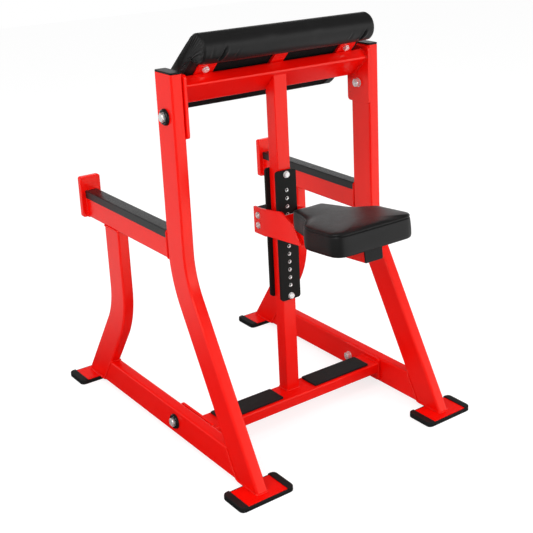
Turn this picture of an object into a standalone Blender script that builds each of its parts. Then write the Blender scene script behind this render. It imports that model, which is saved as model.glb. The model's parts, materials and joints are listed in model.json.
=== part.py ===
"""Preacher bench: a bolted tube frame, a sloping arm pad and a seat on a sliding carriage.

+X is the sitter's left-to-right direction, the sitter faces +Y, and +Z is up. The floor is z = 0.
"""
from math import asin, atan2, cos, pi, radians, sin, tan

import bmesh
import bpy
from mathutils import Matrix, Vector

# Driving sizes, in metres
FRONT_FACE_Y = -0.1545        # front face of the uprights
GAP = 0.0003                  # between pieces that touch
TUBE_WIDTH = 0.036            # the flat tube, across its narrow side
TUBE_DEPTH = 0.090            # and across its wide side
TUBE_WALL = 0.0025
TUBE_CORNER = 0.006
HOLE_CLEARANCE = 0.0005       # around a bolt's shank

SIDE_X = 0.339                # middle of each side frame
UPRIGHT_TOP = 1.125
UPRIGHT_LEAN = radians(30)    # of the lower leg, away from the sitter's side
UPRIGHT_BEND_Z = 0.543        # where the centre lines of the two straight runs meet
UPRIGHT_BEND_RADIUS = 0.30
BEND_STEPS = 7

ARM_BOTTOM = 0.586
ARM_HEIGHT = 0.085
ARM_LENGTH = 0.513            # from the uprights' back face to the stops
STOP_WIDTH = 0.068
STOP_HEIGHT = 0.133
STOP_THICKNESS = 0.019
STOP_CORNER = 0.007
LINER_THICKNESS = 0.0024
LINER_DROP = 0.0215           # of the liner's sides, below the arm's top

REAR_LEG_SET_BACK = 0.446     # centre of its straight top, behind the uprights' front face
REAR_LEG_LEAN = radians(36)
REAR_LEG_BEND_Z = 0.304
REAR_LEG_BEND_RADIUS = 0.25

RAIL_BOTTOM = 0.0115
RAIL_HEIGHT = 0.085

SHOE_LENGTH = 0.173
SHOE_DEPTH = 0.100
SHOE_HEIGHT = 0.0165
SHOE_FLOOR = 0.0072           # rubber under the foot plate
SHOE_LIP = 0.022              # rubber over each end of the plate
SHOE_RIM = 0.005              # rubber around the plate
SHOE_CORNER = 0.014
SHOE_EDGE = 0.002
FOOT_PLATE_THICKNESS = 0.006
FRONT_FOOT_SET_BACK = -0.2915   # middle of the foot, behind the uprights' front face
REAR_FOOT_SET_BACK = 0.6785

CAP_RISE = 0.0052
CAP_PLUG = 0.015

END_PLATE_THICKNESS = 0.008
END_PLATE_CORNER = 0.010
TOP_END_PLATE = (-0.005, 0.097, UPRIGHT_TOP - 0.180, UPRIGHT_TOP - 0.003)
BOTTOM_END_PLATE = (-0.030, 0.150, 0.020, 0.0965)   # set-back from, to, and height from, to
TOP_BOLT = (0.045, UPRIGHT_TOP - 0.119)             # set-back and height
BOTTOM_BOLT = (0.124, 0.056)

CROSS_RAIL_SET_BACK = 0.0155
CROSS_RAIL_BOTTOM = 0.047
TREAD_INNER = 0.060
TREAD_OUTER = 0.277
TREAD_DEPTH = 0.074
TREAD_THICKNESS = 0.006

POST_WIDTH = 0.045
POST_SET_BACK = 0.011
POST_CORNER = 0.003

BEAM_SET_BACK = 0.045
BEAM_HEIGHT = UPRIGHT_TOP - 0.054   # centre of the crossbeam
PAD_SLOPE = radians(43.5)

LUG_THICKNESS = 0.006
WELD_SINK = 0.001             # of a welded plate into the piece that it is welded to
LUG_WIDTH = 0.058
LUG_X = 0.2425
LUG_REACH = 0.096             # up the slope from the crossbeam's centre line
LUG_CORNER = 0.026
CENTRE_LUG_REACH = 0.083
PAD_BOLT_REACH = 0.062

PAD_HALF_LENGTH = 0.303
PAD_LOW_END = 0.149           # down the slope from the crossbeam's centre line
PAD_THICKNESS = 0.054         # cushion and board
PAD_CROWN = 0.002
PAD_ROLL_REACH = 0.140        # up the slope to the roll's centre
PAD_ROLL_RADIUS = 0.0430
PAD_ROLL_DROP = 0.0447        # from the pad's upper face to the roll's centre
PAD_END_ROUND = ((0.0, 0.0150), (0.0025, 0.0085), (0.0070, 0.0042), (0.0140, 0.0012), (0.0230, 0.0),
                 (0.1030, 0.0))         # in from the pad's end, and the section's inset there
PAD_BOARD_THICKNESS = 0.018
PAD_BOARD_EDGE = 0.0075       # cushion around the board

GUIDE_WIDTH = 0.070
GUIDE_THICKNESS = 0.009
GUIDE_BOTTOM = 0.389
GUIDE_HEIGHT = 0.406
GUIDE_CORNER = 0.008
GUIDE_BOLT_INSET = 0.012
PIN_HOLE_PITCH = 0.025
PIN_HOLE_INSET = 0.046        # from the plates' lower end to the first hole, and no less above the last
PIN_HOLE_RADIUS = 0.006
BUSH_RECESS = 0.003           # depth of a pin hole's wide mouth
PIN_RADIUS = 0.003
PIN_CLEARANCE = 0.0005
PIN_HOLE_IN_USE = 7           # counted from 0 at the bottom
PIN_TIP_CLEARANCE = 0.0008    # from the parked pin to the guide plate
RUNNING_CLEARANCE = 0.0008    # carriage on the guide plates' edges
PAD_RUNNING_CLEARANCE = 0.0005

SLIDE_PAD_THICKNESS = 0.0028
SLIDE_PAD_HALF_WIDTH = 0.026
CARRIAGE_PLATE = 0.006
CARRIAGE_REAR = 0.088         # set-back of the side plates' rear edge
CARRIAGE_REAR_TOP = 0.667
CARRIAGE_PEAK = (-0.022, 0.681)
CARRIAGE_BROW = (-0.074, 0.658)
SEAT_LINE = (-0.113, 0.6010)  # the side plates' lower front corner, on the support tube's underside
SEAT_TILT = radians(4.8)
FRONT_PLATE_THICKNESS = 0.005
CROSS_PLATE_BOTTOM = 0.589
CROSS_PLATE_TOP = 0.660
TAB_DEPTH = 0.0635
TAB_BOTTOM = 0.580
TAB_HEIGHT = 0.084
TAB_BOLT_SET_BACK = 0.104
TAB_BOLT_HEIGHTS = (0.6085, 0.640)
BLOCK_DEPTH = 0.054
BLOCK_HEIGHT = 0.076

SUPPORT_WIDTH = 0.062
SUPPORT_HEIGHT = 0.040
SUPPORT_BACK = 0.042          # behind the seat line's point, along the tube
SUPPORT_LENGTH = 0.322
SUPPORT_CAP_FLANGE = 0.004
SUPPORT_CORNER = 0.004

SEAT_BOARD_THICKNESS = 0.012
SEAT_BOARD_EDGE = 0.009
SEAT_SIDE = 0.0650            # height of the seat's side
SEAT_CROWN = 0.0048
SEAT_NOSE_LIFT = 0.010        # of the nose's underside at its tip
SEAT_NOSE_TIP = 0.0095        # behind the seat line's point, along the tube
SEAT_NOSE_HALF = 0.053
SEAT_FLANK_END = 0.105        # ahead of the seat line's point, and so are the next three
SEAT_SHOULDER = 0.157
SEAT_WIDEST = 0.225
SEAT_REAR = 0.3105
SEAT_FLANK_HALF = 0.080
SEAT_SHOULDER_HALF = 0.126
SEAT_WIDEST_HALF = 0.1305
SEAT_REAR_CORNER = 0.040

HOUSING_RADIUS = 0.008
HOUSING_FLANGE_RADIUS = 0.011
HOUSING_FLANGE = 0.006
HOUSING_LENGTH = 0.0294
KNOB_RADIUS = 0.014
KNOB_LENGTH = 0.022
PIN_TRAVEL = 0.009
KNOB_STOP = 0.0005            # knob to housing with the pin home

FRAME_BOLT_RADIUS = 0.008
FRAME_BOLT_HEAD = 0.0277      # across the corners
FRAME_BOLT_HEAD_HEIGHT = 0.010
FRAME_NUT_HEIGHT = 0.013
BOLT_END = 0.003              # shown past a nut
CUP_RADIUS = 0.0235
CUP_FLOOR = 0.0025
CUP_RIM = 0.0085
SMALL_BOLT_RADIUS = 0.005
SMALL_HEAD = 0.0190
SMALL_HEAD_HEIGHT = 0.0065
SMALL_NUT_HEIGHT = 0.008
TAB_BOLT_RADIUS = 0.006
DOME_HEAD_RADIUS = 0.0108
DOME_HEAD_HEIGHT = 0.0060
PAD_BOLT_DEPTH = 0.012        # in the board

# Looks: colour, roughness, metallic
RED_PAINT = ((0.78, 0.022, 0.016), 0.28, 0.0)
BLACK_VINYL = ((0.022, 0.022, 0.023), 0.42, 0.0)
BLACK_RUBBER = ((0.018, 0.019, 0.019), 0.65, 0.0)
BLACK_PLASTIC = ((0.020, 0.021, 0.021), 0.38, 0.0)
BLACK_COATING = ((0.024, 0.025, 0.024), 0.55, 0.0)
GREY_NYLON = ((0.45, 0.45, 0.43), 0.50, 0.0)
ZINC = ((0.72, 0.72, 0.70), 0.28, 1.0)
BLACK_COVER = ((0.016, 0.016, 0.017), 0.75, 0.0)

# Views: a flat outline's own x and y, and the direction that its thickness takes
SIDE_VIEW = Matrix(((0, 0, 1), (1, 0, 0), (0, 1, 0))).to_4x4()    # x to +Y, y to +Z
FRONT_VIEW = Matrix.Rotation(pi / 2, 4, "X")                      # x to +X, y to +Z
PLAN_VIEW = Matrix.Identity(4)
BACKWARD = Matrix.Rotation(-pi / 2, 4, "X")                       # a turned piece's axis to +Y
DOWNWARD = Matrix.Rotation(pi, 4, "X")                            # a bolt's head below its shank
RIGHTWARD = Matrix.Rotation(pi / 2, 4, "Y")                       # a turned piece's axis to +X

for old in list(bpy.data.objects):
    bpy.data.objects.remove(old, do_unlink=True)
bench = bpy.data.collections.new("preacher_bench")
cutters = bpy.data.collections.new("cutters")
bpy.context.scene.collection.children.link(bench)
bpy.context.scene.collection.children.link(cutters)


def set_back(distance):
    """World Y of a place so far behind the uprights' front face."""
    return FRONT_FACE_Y + distance


def at(x=0.0, y=0.0, z=0.0):
    return Matrix.Translation((x, y, z))


def finish_part(item, look, smooth=True):
    """Names the material after the piece and shades its round faces smooth."""
    colour, roughness, metallic = look
    material = bpy.data.materials.new(item.name + "_finish")
    material.use_nodes = True
    shader = material.node_tree.nodes["Principled BSDF"]
    shader.inputs["Base Color"].default_value = (*colour, 1.0)
    shader.inputs["Roughness"].default_value = roughness
    shader.inputs["Metallic"].default_value = metallic
    item.data.materials.clear()
    item.data.materials.append(material)
    if smooth:
        item.data.shade_smooth()
        item.data.set_sharp_from_angle(angle=radians(32))
    return item


def part(name, mesh, look, place=PLAN_VIEW, parent=None):
    """A finished piece of the bench."""
    mesh.name = name
    item = bpy.data.objects.new(name, mesh)
    bench.objects.link(item)
    item.parent = parent
    item.matrix_local = place
    return finish_part(item, look)


def cutter(name, mesh, place=PLAN_VIEW, parent=None):
    """A shape that only cuts others, or is joined to them."""
    item = bpy.data.objects.new(name, mesh)
    cutters.objects.link(item)
    item.parent = parent
    item.matrix_local = place
    item.hide_render = True
    item.display_type = "WIRE"
    return item


def boolean(item, other, operation="DIFFERENCE"):
    change = item.modifiers.new(other.name, "BOOLEAN")
    change.operation = operation
    change.solver = "EXACT"
    change.object = other


def evaluated_mesh(item):
    """The item's shape with its modifiers, as a mesh of its own; the item goes."""
    bpy.context.view_layer.update()
    graph = bpy.context.evaluated_depsgraph_get()
    mesh = bpy.data.meshes.new_from_object(item.evaluated_get(graph))
    bpy.data.objects.remove(item, do_unlink=True)
    return mesh


def outline_mesh(loops, thickness):
    """A flat plate from closed outlines, the outer first and its openings after it."""
    curve = bpy.data.curves.new("outline", "CURVE")
    curve.dimensions = "2D"
    curve.fill_mode = "BOTH"
    curve.extrude = thickness / 2
    for loop in loops:
        spline = curve.splines.new("POLY")
        spline.points.add(len(loop) - 1)
        for point, (x, y) in zip(spline.points, loop):
            point.co = (x, y, 0.0, 1.0)
        spline.use_cyclic_u = True
    item = bpy.data.objects.new("outline", curve)
    cutters.objects.link(item)
    mesh = evaluated_mesh(item)
    shape = bmesh.new()
    shape.from_mesh(mesh)
    bmesh.ops.remove_doubles(shape, verts=shape.verts, dist=0.00001)
    bmesh.ops.dissolve_limit(shape, angle_limit=radians(0.5), verts=shape.verts, edges=shape.edges)
    shape.to_mesh(mesh)
    shape.free()
    return mesh


def arc(centre, radius, start, end, steps):
    """Points on a circle from one angle to another, both in radians."""
    cx, cy = centre
    turns = [start + (end - start) * step / steps for step in range(steps + 1)]
    return [(cx + radius * cos(turn), cy + radius * sin(turn)) for turn in turns]


def rounded_box(width, height, radius, centre=(0.0, 0.0), steps=3):
    cx, cy = centre
    x = width / 2 - radius
    y = height / 2 - radius
    points = []
    for corner, (sx, sy) in enumerate(((1, 1), (-1, 1), (-1, -1), (1, -1))):
        start = corner * pi / 2
        points += arc((cx + sx * x, cy + sy * y), radius, start, start + pi / 2, steps)
    return points


def circle(radius, centre=(0.0, 0.0), steps=16):
    return arc(centre, radius, 0.0, 2 * pi * (steps - 1) / steps, steps - 1)


def rounded_span(low_x, high_x, low_y, high_y, radius, steps=3):
    """A rounded box given by its edges."""
    centre = ((low_x + high_x) / 2, (low_y + high_y) / 2)
    return rounded_box(high_x - low_x, high_y - low_y, radius, centre, steps)


def tube_mesh(width, height, length, radius):
    """A straight box tube, open at both ends."""
    inner_radius = max(radius - TUBE_WALL, 0.0005)
    outer = rounded_box(width, height, radius)
    inner = rounded_box(width - 2 * TUBE_WALL, height - 2 * TUBE_WALL, inner_radius, steps=2)
    return outline_mesh([outer, inner], length)


def box_mesh(width, depth, height):
    mesh = bpy.data.meshes.new("box")
    shape = bmesh.new()
    bmesh.ops.create_cube(shape, size=1.0)
    bmesh.ops.scale(shape, vec=(width, depth, height), verts=shape.verts)
    shape.to_mesh(mesh)
    shape.free()
    return mesh


def rod_mesh(radius, length, sides=16):
    """A round or many-sided bar along its own z."""
    mesh = bpy.data.meshes.new("rod")
    shape = bmesh.new()
    bmesh.ops.create_cone(shape, cap_ends=True, segments=sides, radius1=radius, radius2=radius,
                          depth=length)
    shape.to_mesh(mesh)
    shape.free()
    return mesh


def turned_mesh(profile, sides, closed=False):
    """A profile of (radius, height) points turned about its own z, run down its outer side."""
    mesh = bpy.data.meshes.new("profile")
    last = len(profile) - 1
    edges = [(index, index + 1) for index in range(last)]
    if closed:
        edges.append((last, 0))
    mesh.from_pydata([(radius, 0.0, height) for radius, height in profile], edges, [])
    item = bpy.data.objects.new("turned", mesh)
    cutters.objects.link(item)
    screw = item.modifiers.new("turn", "SCREW")
    screw.steps = sides
    screw.render_steps = sides
    screw.use_merge_vertices = True
    screw.merge_threshold = 0.00002
    return evaluated_mesh(item)


def stamped_mesh(mesh, places):
    """The same closed shape at each place, as one mesh."""
    shape = bmesh.new()
    for place in places:
        copy = mesh.copy()
        copy.transform(place)
        shape.from_mesh(copy)
        bpy.data.meshes.remove(copy)
    joined = bpy.data.meshes.new("group")
    shape.to_mesh(joined)
    shape.free()
    return joined


def union_mesh(first, second):
    """Two overlapping shapes as one closed body."""
    item = bpy.data.objects.new("first", first)
    cutters.objects.link(item)
    other = cutter("second", second)
    boolean(item, other, "UNION")
    mesh = evaluated_mesh(item)
    bpy.data.objects.remove(other, do_unlink=True)
    return mesh


def flipped(mesh):
    """A mirrored copy across x = 0, with its faces still pointing out."""
    copy = mesh.copy()
    copy.transform(Matrix.Scale(-1, 4, (1, 0, 0)))
    copy.flip_normals()
    return copy


def bevel_edges(item, width, segments=2):
    """Rounds every sharp edge."""
    bevel = item.modifiers.new("rounding", "BEVEL")
    bevel.width = width
    bevel.segments = segments
    bevel.limit_method = "ANGLE"
    bevel.angle_limit = radians(40)
    bevel.harden_normals = False


def bevel_long_edges(item, half_width, along, radius, segments=2):
    """Rounds the edges of a side-view strip that run along it, and leaves its cut ends sharp."""
    mesh = item.data
    weights = mesh.attributes.new("bevel_weight_edge", "FLOAT", "EDGE")
    shape = bmesh.new()
    shape.from_mesh(mesh)
    for edge in shape.edges:
        first, second = (vertex.co for vertex in edge.verts)
        on_side = abs(abs(first.z) - half_width) < 1e-5 and abs(first.z - second.z) < 1e-5
        sharp = edge.calc_face_angle(0.0) > radians(60)
        if on_side and sharp and along(first, second):
            weights.data[edge.index].value = 1.0
    shape.free()
    bevel = item.modifiers.new("tube_corners", "BEVEL")
    bevel.width = radius
    bevel.segments = segments
    bevel.limit_method = "WEIGHT"


def bent_path(start, corner, end, radius):
    """A centre line of two straight runs and the arc between them, in the side view."""
    start, corner, end = Vector(start), Vector(corner), Vector(end)
    into = (corner - start).normalized()
    out = (end - corner).normalized()
    turn = into.angle(out)
    reach = radius * tan(turn / 2)
    first = corner - into * reach
    side = Vector((-into.y, into.x))
    if side.dot(out) < 0:
        side.negate()
    centre = first + side * radius
    points = [start]
    for step in range(BEND_STEPS + 1):
        angle = turn * step / BEND_STEPS
        points.append(centre - side * radius * cos(angle) + into * radius * sin(angle))
    points.append(end)
    return points


def beside(path, distance):
    """The line that runs so far to the left of a path; each bend keeps its mitre."""
    points = []
    for index, point in enumerate(path):
        before = path[index] - path[index - 1] if index > 0 else path[1] - path[0]
        after = path[index + 1] - path[index] if index < len(path) - 1 else before
        left_before = Vector((-before.y, before.x)).normalized()
        left_after = Vector((-after.y, after.x)).normalized()
        mitre = (left_before + left_after).normalized()
        points.append(point + mitre * distance / mitre.dot(left_before))
    return points


def cut_level(points, index, level):
    """Slides an end point of a line along its own run to a height."""
    end = points[index]
    inner = points[1] if index == 0 else points[-2]
    run = end - inner
    points[index] = inner + run * (level - inner.y) / run.y


def strip_outline(path, width, top, bottom):
    """A bent strip of constant width, cut level at both ends."""
    left = beside(path, width / 2)
    right = beside(path, -width / 2)
    for line in (left, right):
        cut_level(line, 0, top)
        cut_level(line, -1, bottom)
    return [tuple(point) for point in left + right[::-1]]


def bent_tube(name, path, top, bottom, place):
    """A flat tube bent in the side view, hollow and open at both level ends."""
    tube = part(name, outline_mesh([strip_outline(path, TUBE_DEPTH, top, bottom)], TUBE_WIDTH),
                RED_PAINT, place)
    bevel_long_edges(tube, TUBE_WIDTH / 2, lambda a, b: abs(a.y - b.y) > 1e-4, TUBE_CORNER)
    beyond = 0.01
    bore = strip_outline(path, TUBE_DEPTH - 2 * TUBE_WALL, top + beyond, bottom - beyond)
    boolean(tube, cutter(name + "_bore", outline_mesh([bore], TUBE_WIDTH - 2 * TUBE_WALL), place))
    return tube


# Side frames
side_names = {-1: "left", 1: "right"}
foot_plate_top = SHOE_FLOOR + GAP + FOOT_PLATE_THICKNESS
leg_bottom = foot_plate_top + GAP
arm_top = ARM_BOTTOM + ARM_HEIGHT
stop_front = TUBE_DEPTH + ARM_LENGTH
upright_centre = TUBE_DEPTH / 2


def upright_line(z):
    """Set-back of the slanted lower leg's centre line at a height."""
    return upright_centre - (UPRIGHT_BEND_Z - z) * tan(UPRIGHT_LEAN)


def rear_leg_line(z):
    return REAR_LEG_SET_BACK + (REAR_LEG_BEND_Z - z) * tan(REAR_LEG_LEAN)


def side_path(centre, bend_z, line, top, radius):
    """Centre line of a leg, vertical above its bend and on a slanted line below it."""
    below = leg_bottom - 0.05
    return bent_path((set_back(centre), top + 0.05), (set_back(centre), bend_z),
                     (set_back(line(below)), below), radius)


def bolt_hole(item, place, radius):
    """A hole along X through a side frame's tube or plate, at a set-back and height."""
    hole = rod_mesh(radius + HOLE_CLEARANCE, 0.2)
    spot = at(item.matrix_world.translation.x, set_back(place[0]), place[1])
    boolean(item, cutter(item.name + "_bolt_hole", hole, spot @ Matrix.Rotation(pi / 2, 4, "Y")))


def build_side_frame(side):
    label = side_names[side]
    centre_x = side * SIDE_X
    place = at(centre_x) @ SIDE_VIEW

    path = side_path(upright_centre, UPRIGHT_BEND_Z, upright_line, UPRIGHT_TOP, UPRIGHT_BEND_RADIUS)
    upright = bent_tube("front_upright_" + label, path, UPRIGHT_TOP, leg_bottom, place)
    bolt_hole(upright, TOP_BOLT, FRAME_BOLT_RADIUS)

    leg_top = ARM_BOTTOM - GAP
    path = side_path(REAR_LEG_SET_BACK, REAR_LEG_BEND_Z, rear_leg_line, leg_top,
                     REAR_LEG_BEND_RADIUS)
    bent_tube("rear_leg_" + label, path, leg_top, leg_bottom, place)

    build_base_rail(label, place)
    build_rack_arm(label, centre_x)
    build_upright_cap(label, centre_x)
    build_foot("front", label, centre_x, FRONT_FOOT_SET_BACK)
    build_foot("rear", label, centre_x, REAR_FOOT_SET_BACK)


def build_base_rail(label, place):
    """A straight tube whose ends are cut to the slant of the two legs."""
    def ends(extra, low, high):
        front_half = TUBE_DEPTH / 2 / cos(UPRIGHT_LEAN) + GAP - extra
        rear_half = TUBE_DEPTH / 2 / cos(REAR_LEG_LEAN) + GAP - extra
        return [(set_back(upright_line(low) + front_half), low),
                (set_back(rear_leg_line(low) - rear_half), low),
                (set_back(rear_leg_line(high) - rear_half), high),
                (set_back(upright_line(high) + front_half), high)]

    rail_top = RAIL_BOTTOM + RAIL_HEIGHT
    rail = part("base_rail_" + label, outline_mesh([ends(0.0, RAIL_BOTTOM, rail_top)], TUBE_WIDTH),
                RED_PAINT, place)
    bevel_long_edges(rail, TUBE_WIDTH / 2, lambda a, b: abs(a.y - b.y) < 1e-4, TUBE_CORNER)
    bore = ends(0.02, RAIL_BOTTOM + TUBE_WALL, rail_top - TUBE_WALL)
    boolean(rail, cutter(rail.name + "_bore", outline_mesh([bore], TUBE_WIDTH - 2 * TUBE_WALL),
                         place))
    bolt_hole(rail, BOTTOM_BOLT, FRAME_BOLT_RADIUS)


def build_rack_arm(label, centre_x):
    """The arm that a bar rests on, its stop and its liner."""
    length = ARM_LENGTH - 2 * GAP
    middle = set_back(TUBE_DEPTH + ARM_LENGTH / 2)
    arm_place = at(centre_x, middle, ARM_BOTTOM + ARM_HEIGHT / 2) @ FRONT_VIEW
    part("rack_arm_" + label, tube_mesh(TUBE_WIDTH, ARM_HEIGHT, length, TUBE_CORNER), RED_PAINT,
         arm_place)

    stop_outline = rounded_box(STOP_WIDTH, STOP_HEIGHT, STOP_CORNER)
    stop_place = at(centre_x, set_back(stop_front + STOP_THICKNESS / 2), ARM_BOTTOM + STOP_HEIGHT / 2)
    stop = part("rack_stop_" + label, outline_mesh([stop_outline], STOP_THICKNESS), RED_PAINT,
                stop_place @ FRONT_VIEW)
    bevel_edges(stop, 0.0015, 1)

    inner = TUBE_WIDTH / 2 + GAP
    outer = inner + LINER_THICKNESS
    inner_top = arm_top + GAP
    outer_top = inner_top + LINER_THICKNESS
    low = arm_top - LINER_DROP
    corner = 0.004
    right = arc((outer - corner, outer_top - corner), corner, 0.0, pi / 2, 3)
    left = arc((corner - outer, outer_top - corner), corner, pi / 2, pi, 3)
    loop = [(outer, low)] + right + left + [(-outer, low), (-inner, low), (-inner, inner_top),
                                            (inner, inner_top), (inner, low)]
    part("rack_liner_" + label, outline_mesh([loop], length), BLACK_PLASTIC,
         at(centre_x, middle, 0.0) @ FRONT_VIEW)


def build_upright_cap(label, centre_x):
    """A moulded plug: a domed flange on the rim and a body in the bore."""
    flange = bpy.data.objects.new("flange", outline_mesh(
        [rounded_box(TUBE_WIDTH, TUBE_DEPTH, TUBE_CORNER)], CAP_RISE))
    cutters.objects.link(flange)
    bevel_edges(flange, 0.0018, 2)
    bore_clearance = TUBE_WALL + GAP
    plug = outline_mesh([rounded_box(TUBE_WIDTH - 2 * bore_clearance, TUBE_DEPTH - 2 * bore_clearance,
                                     0.0025, steps=2)], CAP_PLUG + CAP_RISE / 2)
    plug.transform(at(z=-(CAP_PLUG + CAP_RISE / 2) / 2))
    place = at(centre_x, set_back(TUBE_DEPTH / 2), UPRIGHT_TOP + GAP + CAP_RISE / 2)
    part("upright_cap_" + label, union_mesh(evaluated_mesh(flange), plug), BLACK_PLASTIC, place)


def build_foot(end, label, centre_x, centre_set_back):
    """A steel foot plate in a rubber shoe, which laps over the plate's two ends."""
    plate_length = SHOE_LENGTH - 2 * SHOE_RIM
    plate_depth = SHOE_DEPTH - 2 * SHOE_RIM
    corner = SHOE_CORNER - SHOE_RIM
    place = at(centre_x, set_back(centre_set_back), 0.0)
    plate_height = SHOE_FLOOR + GAP + FOOT_PLATE_THICKNESS / 2
    part(end + "_foot_plate_" + label,
         outline_mesh([rounded_box(plate_length, plate_depth, corner)], FOOT_PLATE_THICKNESS),
         RED_PAINT, place @ at(z=plate_height))

    shoe = part(end + "_foot_shoe_" + label,
                outline_mesh([rounded_box(SHOE_LENGTH, SHOE_DEPTH, SHOE_CORNER)], SHOE_HEIGHT),
                BLACK_RUBBER, place @ at(z=SHOE_HEIGHT / 2))
    bevel_edges(shoe, SHOE_EDGE, 2)
    pocket = rounded_box(plate_length + 2 * GAP, plate_depth + 2 * GAP, corner)
    boolean(shoe, cutter(shoe.name + "_pocket",
                         outline_mesh([pocket], FOOT_PLATE_THICKNESS + 2 * GAP),
                         place @ at(z=plate_height)))
    window_bottom = foot_plate_top - 0.0015
    window_height = 0.02
    boolean(shoe, cutter(shoe.name + "_window",
                         box_mesh(SHOE_LENGTH - 2 * SHOE_LIP, SHOE_DEPTH + 0.02, window_height),
                         place @ at(z=window_bottom + window_height / 2)))


for side in side_names:
    build_side_frame(side)

# The middle of the frame
end_plate_outer = SIDE_X - TUBE_WIDTH / 2 - GAP
end_plate_inner = end_plate_outer - END_PLATE_THICKNESS
cross_half = end_plate_inner - GAP
cross_rail_top = CROSS_RAIL_BOTTOM + TUBE_WIDTH
guide_back = POST_SET_BACK - GAP
guide_front = guide_back - GUIDE_THICKNESS
post_back = POST_SET_BACK + POST_WIDTH
rear_guide_front = post_back + GAP
rear_guide_back = rear_guide_front + GUIDE_THICKNESS
guide_centre_z = GUIDE_BOTTOM + GUIDE_HEIGHT / 2
guide_bolt_heights = (GUIDE_BOTTOM + GUIDE_BOLT_INSET, GUIDE_BOTTOM + GUIDE_HEIGHT - GUIDE_BOLT_INSET)
pin_holes = int((GUIDE_HEIGHT - 2 * PIN_HOLE_INSET) / PIN_HOLE_PITCH) + 1
pin_hole_heights = [GUIDE_BOTTOM + PIN_HOLE_INSET + PIN_HOLE_PITCH * index
                    for index in range(pin_holes)]
pin_z = pin_hole_heights[PIN_HOLE_IN_USE]

# Everything under the arm pad is set out from the crossbeam's centre line: y runs down the slope
pad_frame = bpy.data.objects.new("pad_frame", None)
bench.objects.link(pad_frame)
pad_frame.location = (0.0, set_back(BEAM_SET_BACK), BEAM_HEIGHT)
pad_frame.rotation_euler = (-PAD_SLOPE, 0.0, 0.0)
beam_face = TUBE_WIDTH / 2
lug_bottom = beam_face - WELD_SINK
board_bottom = beam_face + LUG_THICKNESS + GAP
pad_top = board_bottom + PAD_THICKNESS


def build_cross_members():
    """The flat crossbeam with its lugs, the bottom cross rail, and the plates on their ends."""
    beam = tube_mesh(TUBE_DEPTH, TUBE_WIDTH, 2 * cross_half, TUBE_CORNER)
    beam.transform(SIDE_VIEW)
    for lug in pad_lug_meshes():
        beam = union_mesh(beam, lug)
    part("top_crossbeam", beam, RED_PAINT, PLAN_VIEW, pad_frame)
    rail_place = at(0.0, set_back(CROSS_RAIL_SET_BACK), CROSS_RAIL_BOTTOM + TUBE_WIDTH / 2)
    part("bottom_cross_rail", tube_mesh(TUBE_DEPTH, TUBE_WIDTH, 2 * cross_half, TUBE_CORNER),
         RED_PAINT, rail_place @ SIDE_VIEW)
    for side, label in side_names.items():
        centre_x = side * (end_plate_outer - END_PLATE_THICKNESS / 2)
        for level, edges, bolt in (("top", TOP_END_PLATE, TOP_BOLT),
                                   ("bottom", BOTTOM_END_PLATE, BOTTOM_BOLT)):
            front, back, low, high = edges
            outline = rounded_span(set_back(front), set_back(back), low, high, END_PLATE_CORNER)
            hole = circle(FRAME_BOLT_RADIUS + HOLE_CLEARANCE, (set_back(bolt[0]), bolt[1]))
            part(level + "_end_plate_" + label, outline_mesh([outline, hole], END_PLATE_THICKNESS),
                 RED_PAINT, at(centre_x) @ SIDE_VIEW)
        tread_length = TREAD_OUTER - TREAD_INNER
        tread = part("foot_tread_" + label,
                     outline_mesh([rounded_box(tread_length, TREAD_DEPTH, 0.004)], TREAD_THICKNESS),
                     BLACK_RUBBER,
                     at(side * (TREAD_INNER + tread_length / 2), set_back(CROSS_RAIL_SET_BACK),
                        cross_rail_top + GAP + TREAD_THICKNESS / 2))
        bevel_edges(tread, 0.001, 1)


def build_post():
    """A square tube from the cross rail to the crossbeam, its top cut to the beam's lower face."""
    low = cross_rail_top + GAP
    high = BEAM_HEIGHT + TUBE_DEPTH
    post = part("center_post", tube_mesh(POST_WIDTH, POST_WIDTH, high - low, POST_CORNER), RED_PAINT,
                at(0.0, set_back(POST_SET_BACK + POST_WIDTH / 2), (low + high) / 2))
    block = 0.4
    boolean(post, cutter("post_top_cut", box_mesh(block, block, block),
                         at(z=block / 2 - beam_face - GAP), pad_frame))
    holes = stamped_mesh(rod_mesh(SMALL_BOLT_RADIUS + HOLE_CLEARANCE, 0.2),
                         [at(0.0, set_back(POST_SET_BACK), z) @ BACKWARD for z in guide_bolt_heights])
    boolean(post, cutter("post_bolt_holes", holes))


def build_guide_plates():
    """Two plates on the post; the front one has a row of pin holes with wide mouths."""
    outline = rounded_box(GUIDE_WIDTH, GUIDE_HEIGHT, GUIDE_CORNER, (0.0, guide_centre_z))
    bolts = [circle(SMALL_BOLT_RADIUS + HOLE_CLEARANCE, (0.0, z)) for z in guide_bolt_heights]
    pins = [circle(PIN_RADIUS + PIN_CLEARANCE, (0.0, z), 12) for z in pin_hole_heights]
    front = at(0.0, set_back(guide_front + GUIDE_THICKNESS / 2)) @ FRONT_VIEW
    rear = at(0.0, set_back(rear_guide_front + GUIDE_THICKNESS / 2)) @ FRONT_VIEW
    plate = part("front_guide_plate", outline_mesh([outline] + bolts + pins, GUIDE_THICKNESS),
                 BLACK_COATING, front)
    mouths = stamped_mesh(rod_mesh(PIN_HOLE_RADIUS, 2 * BUSH_RECESS),
                          [at(0.0, set_back(guide_front), z) @ BACKWARD for z in pin_hole_heights])
    boolean(plate, cutter("pin_hole_mouths", mouths))
    part("rear_guide_plate", outline_mesh([outline] + bolts, GUIDE_THICKNESS), BLACK_COATING, rear)


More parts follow.
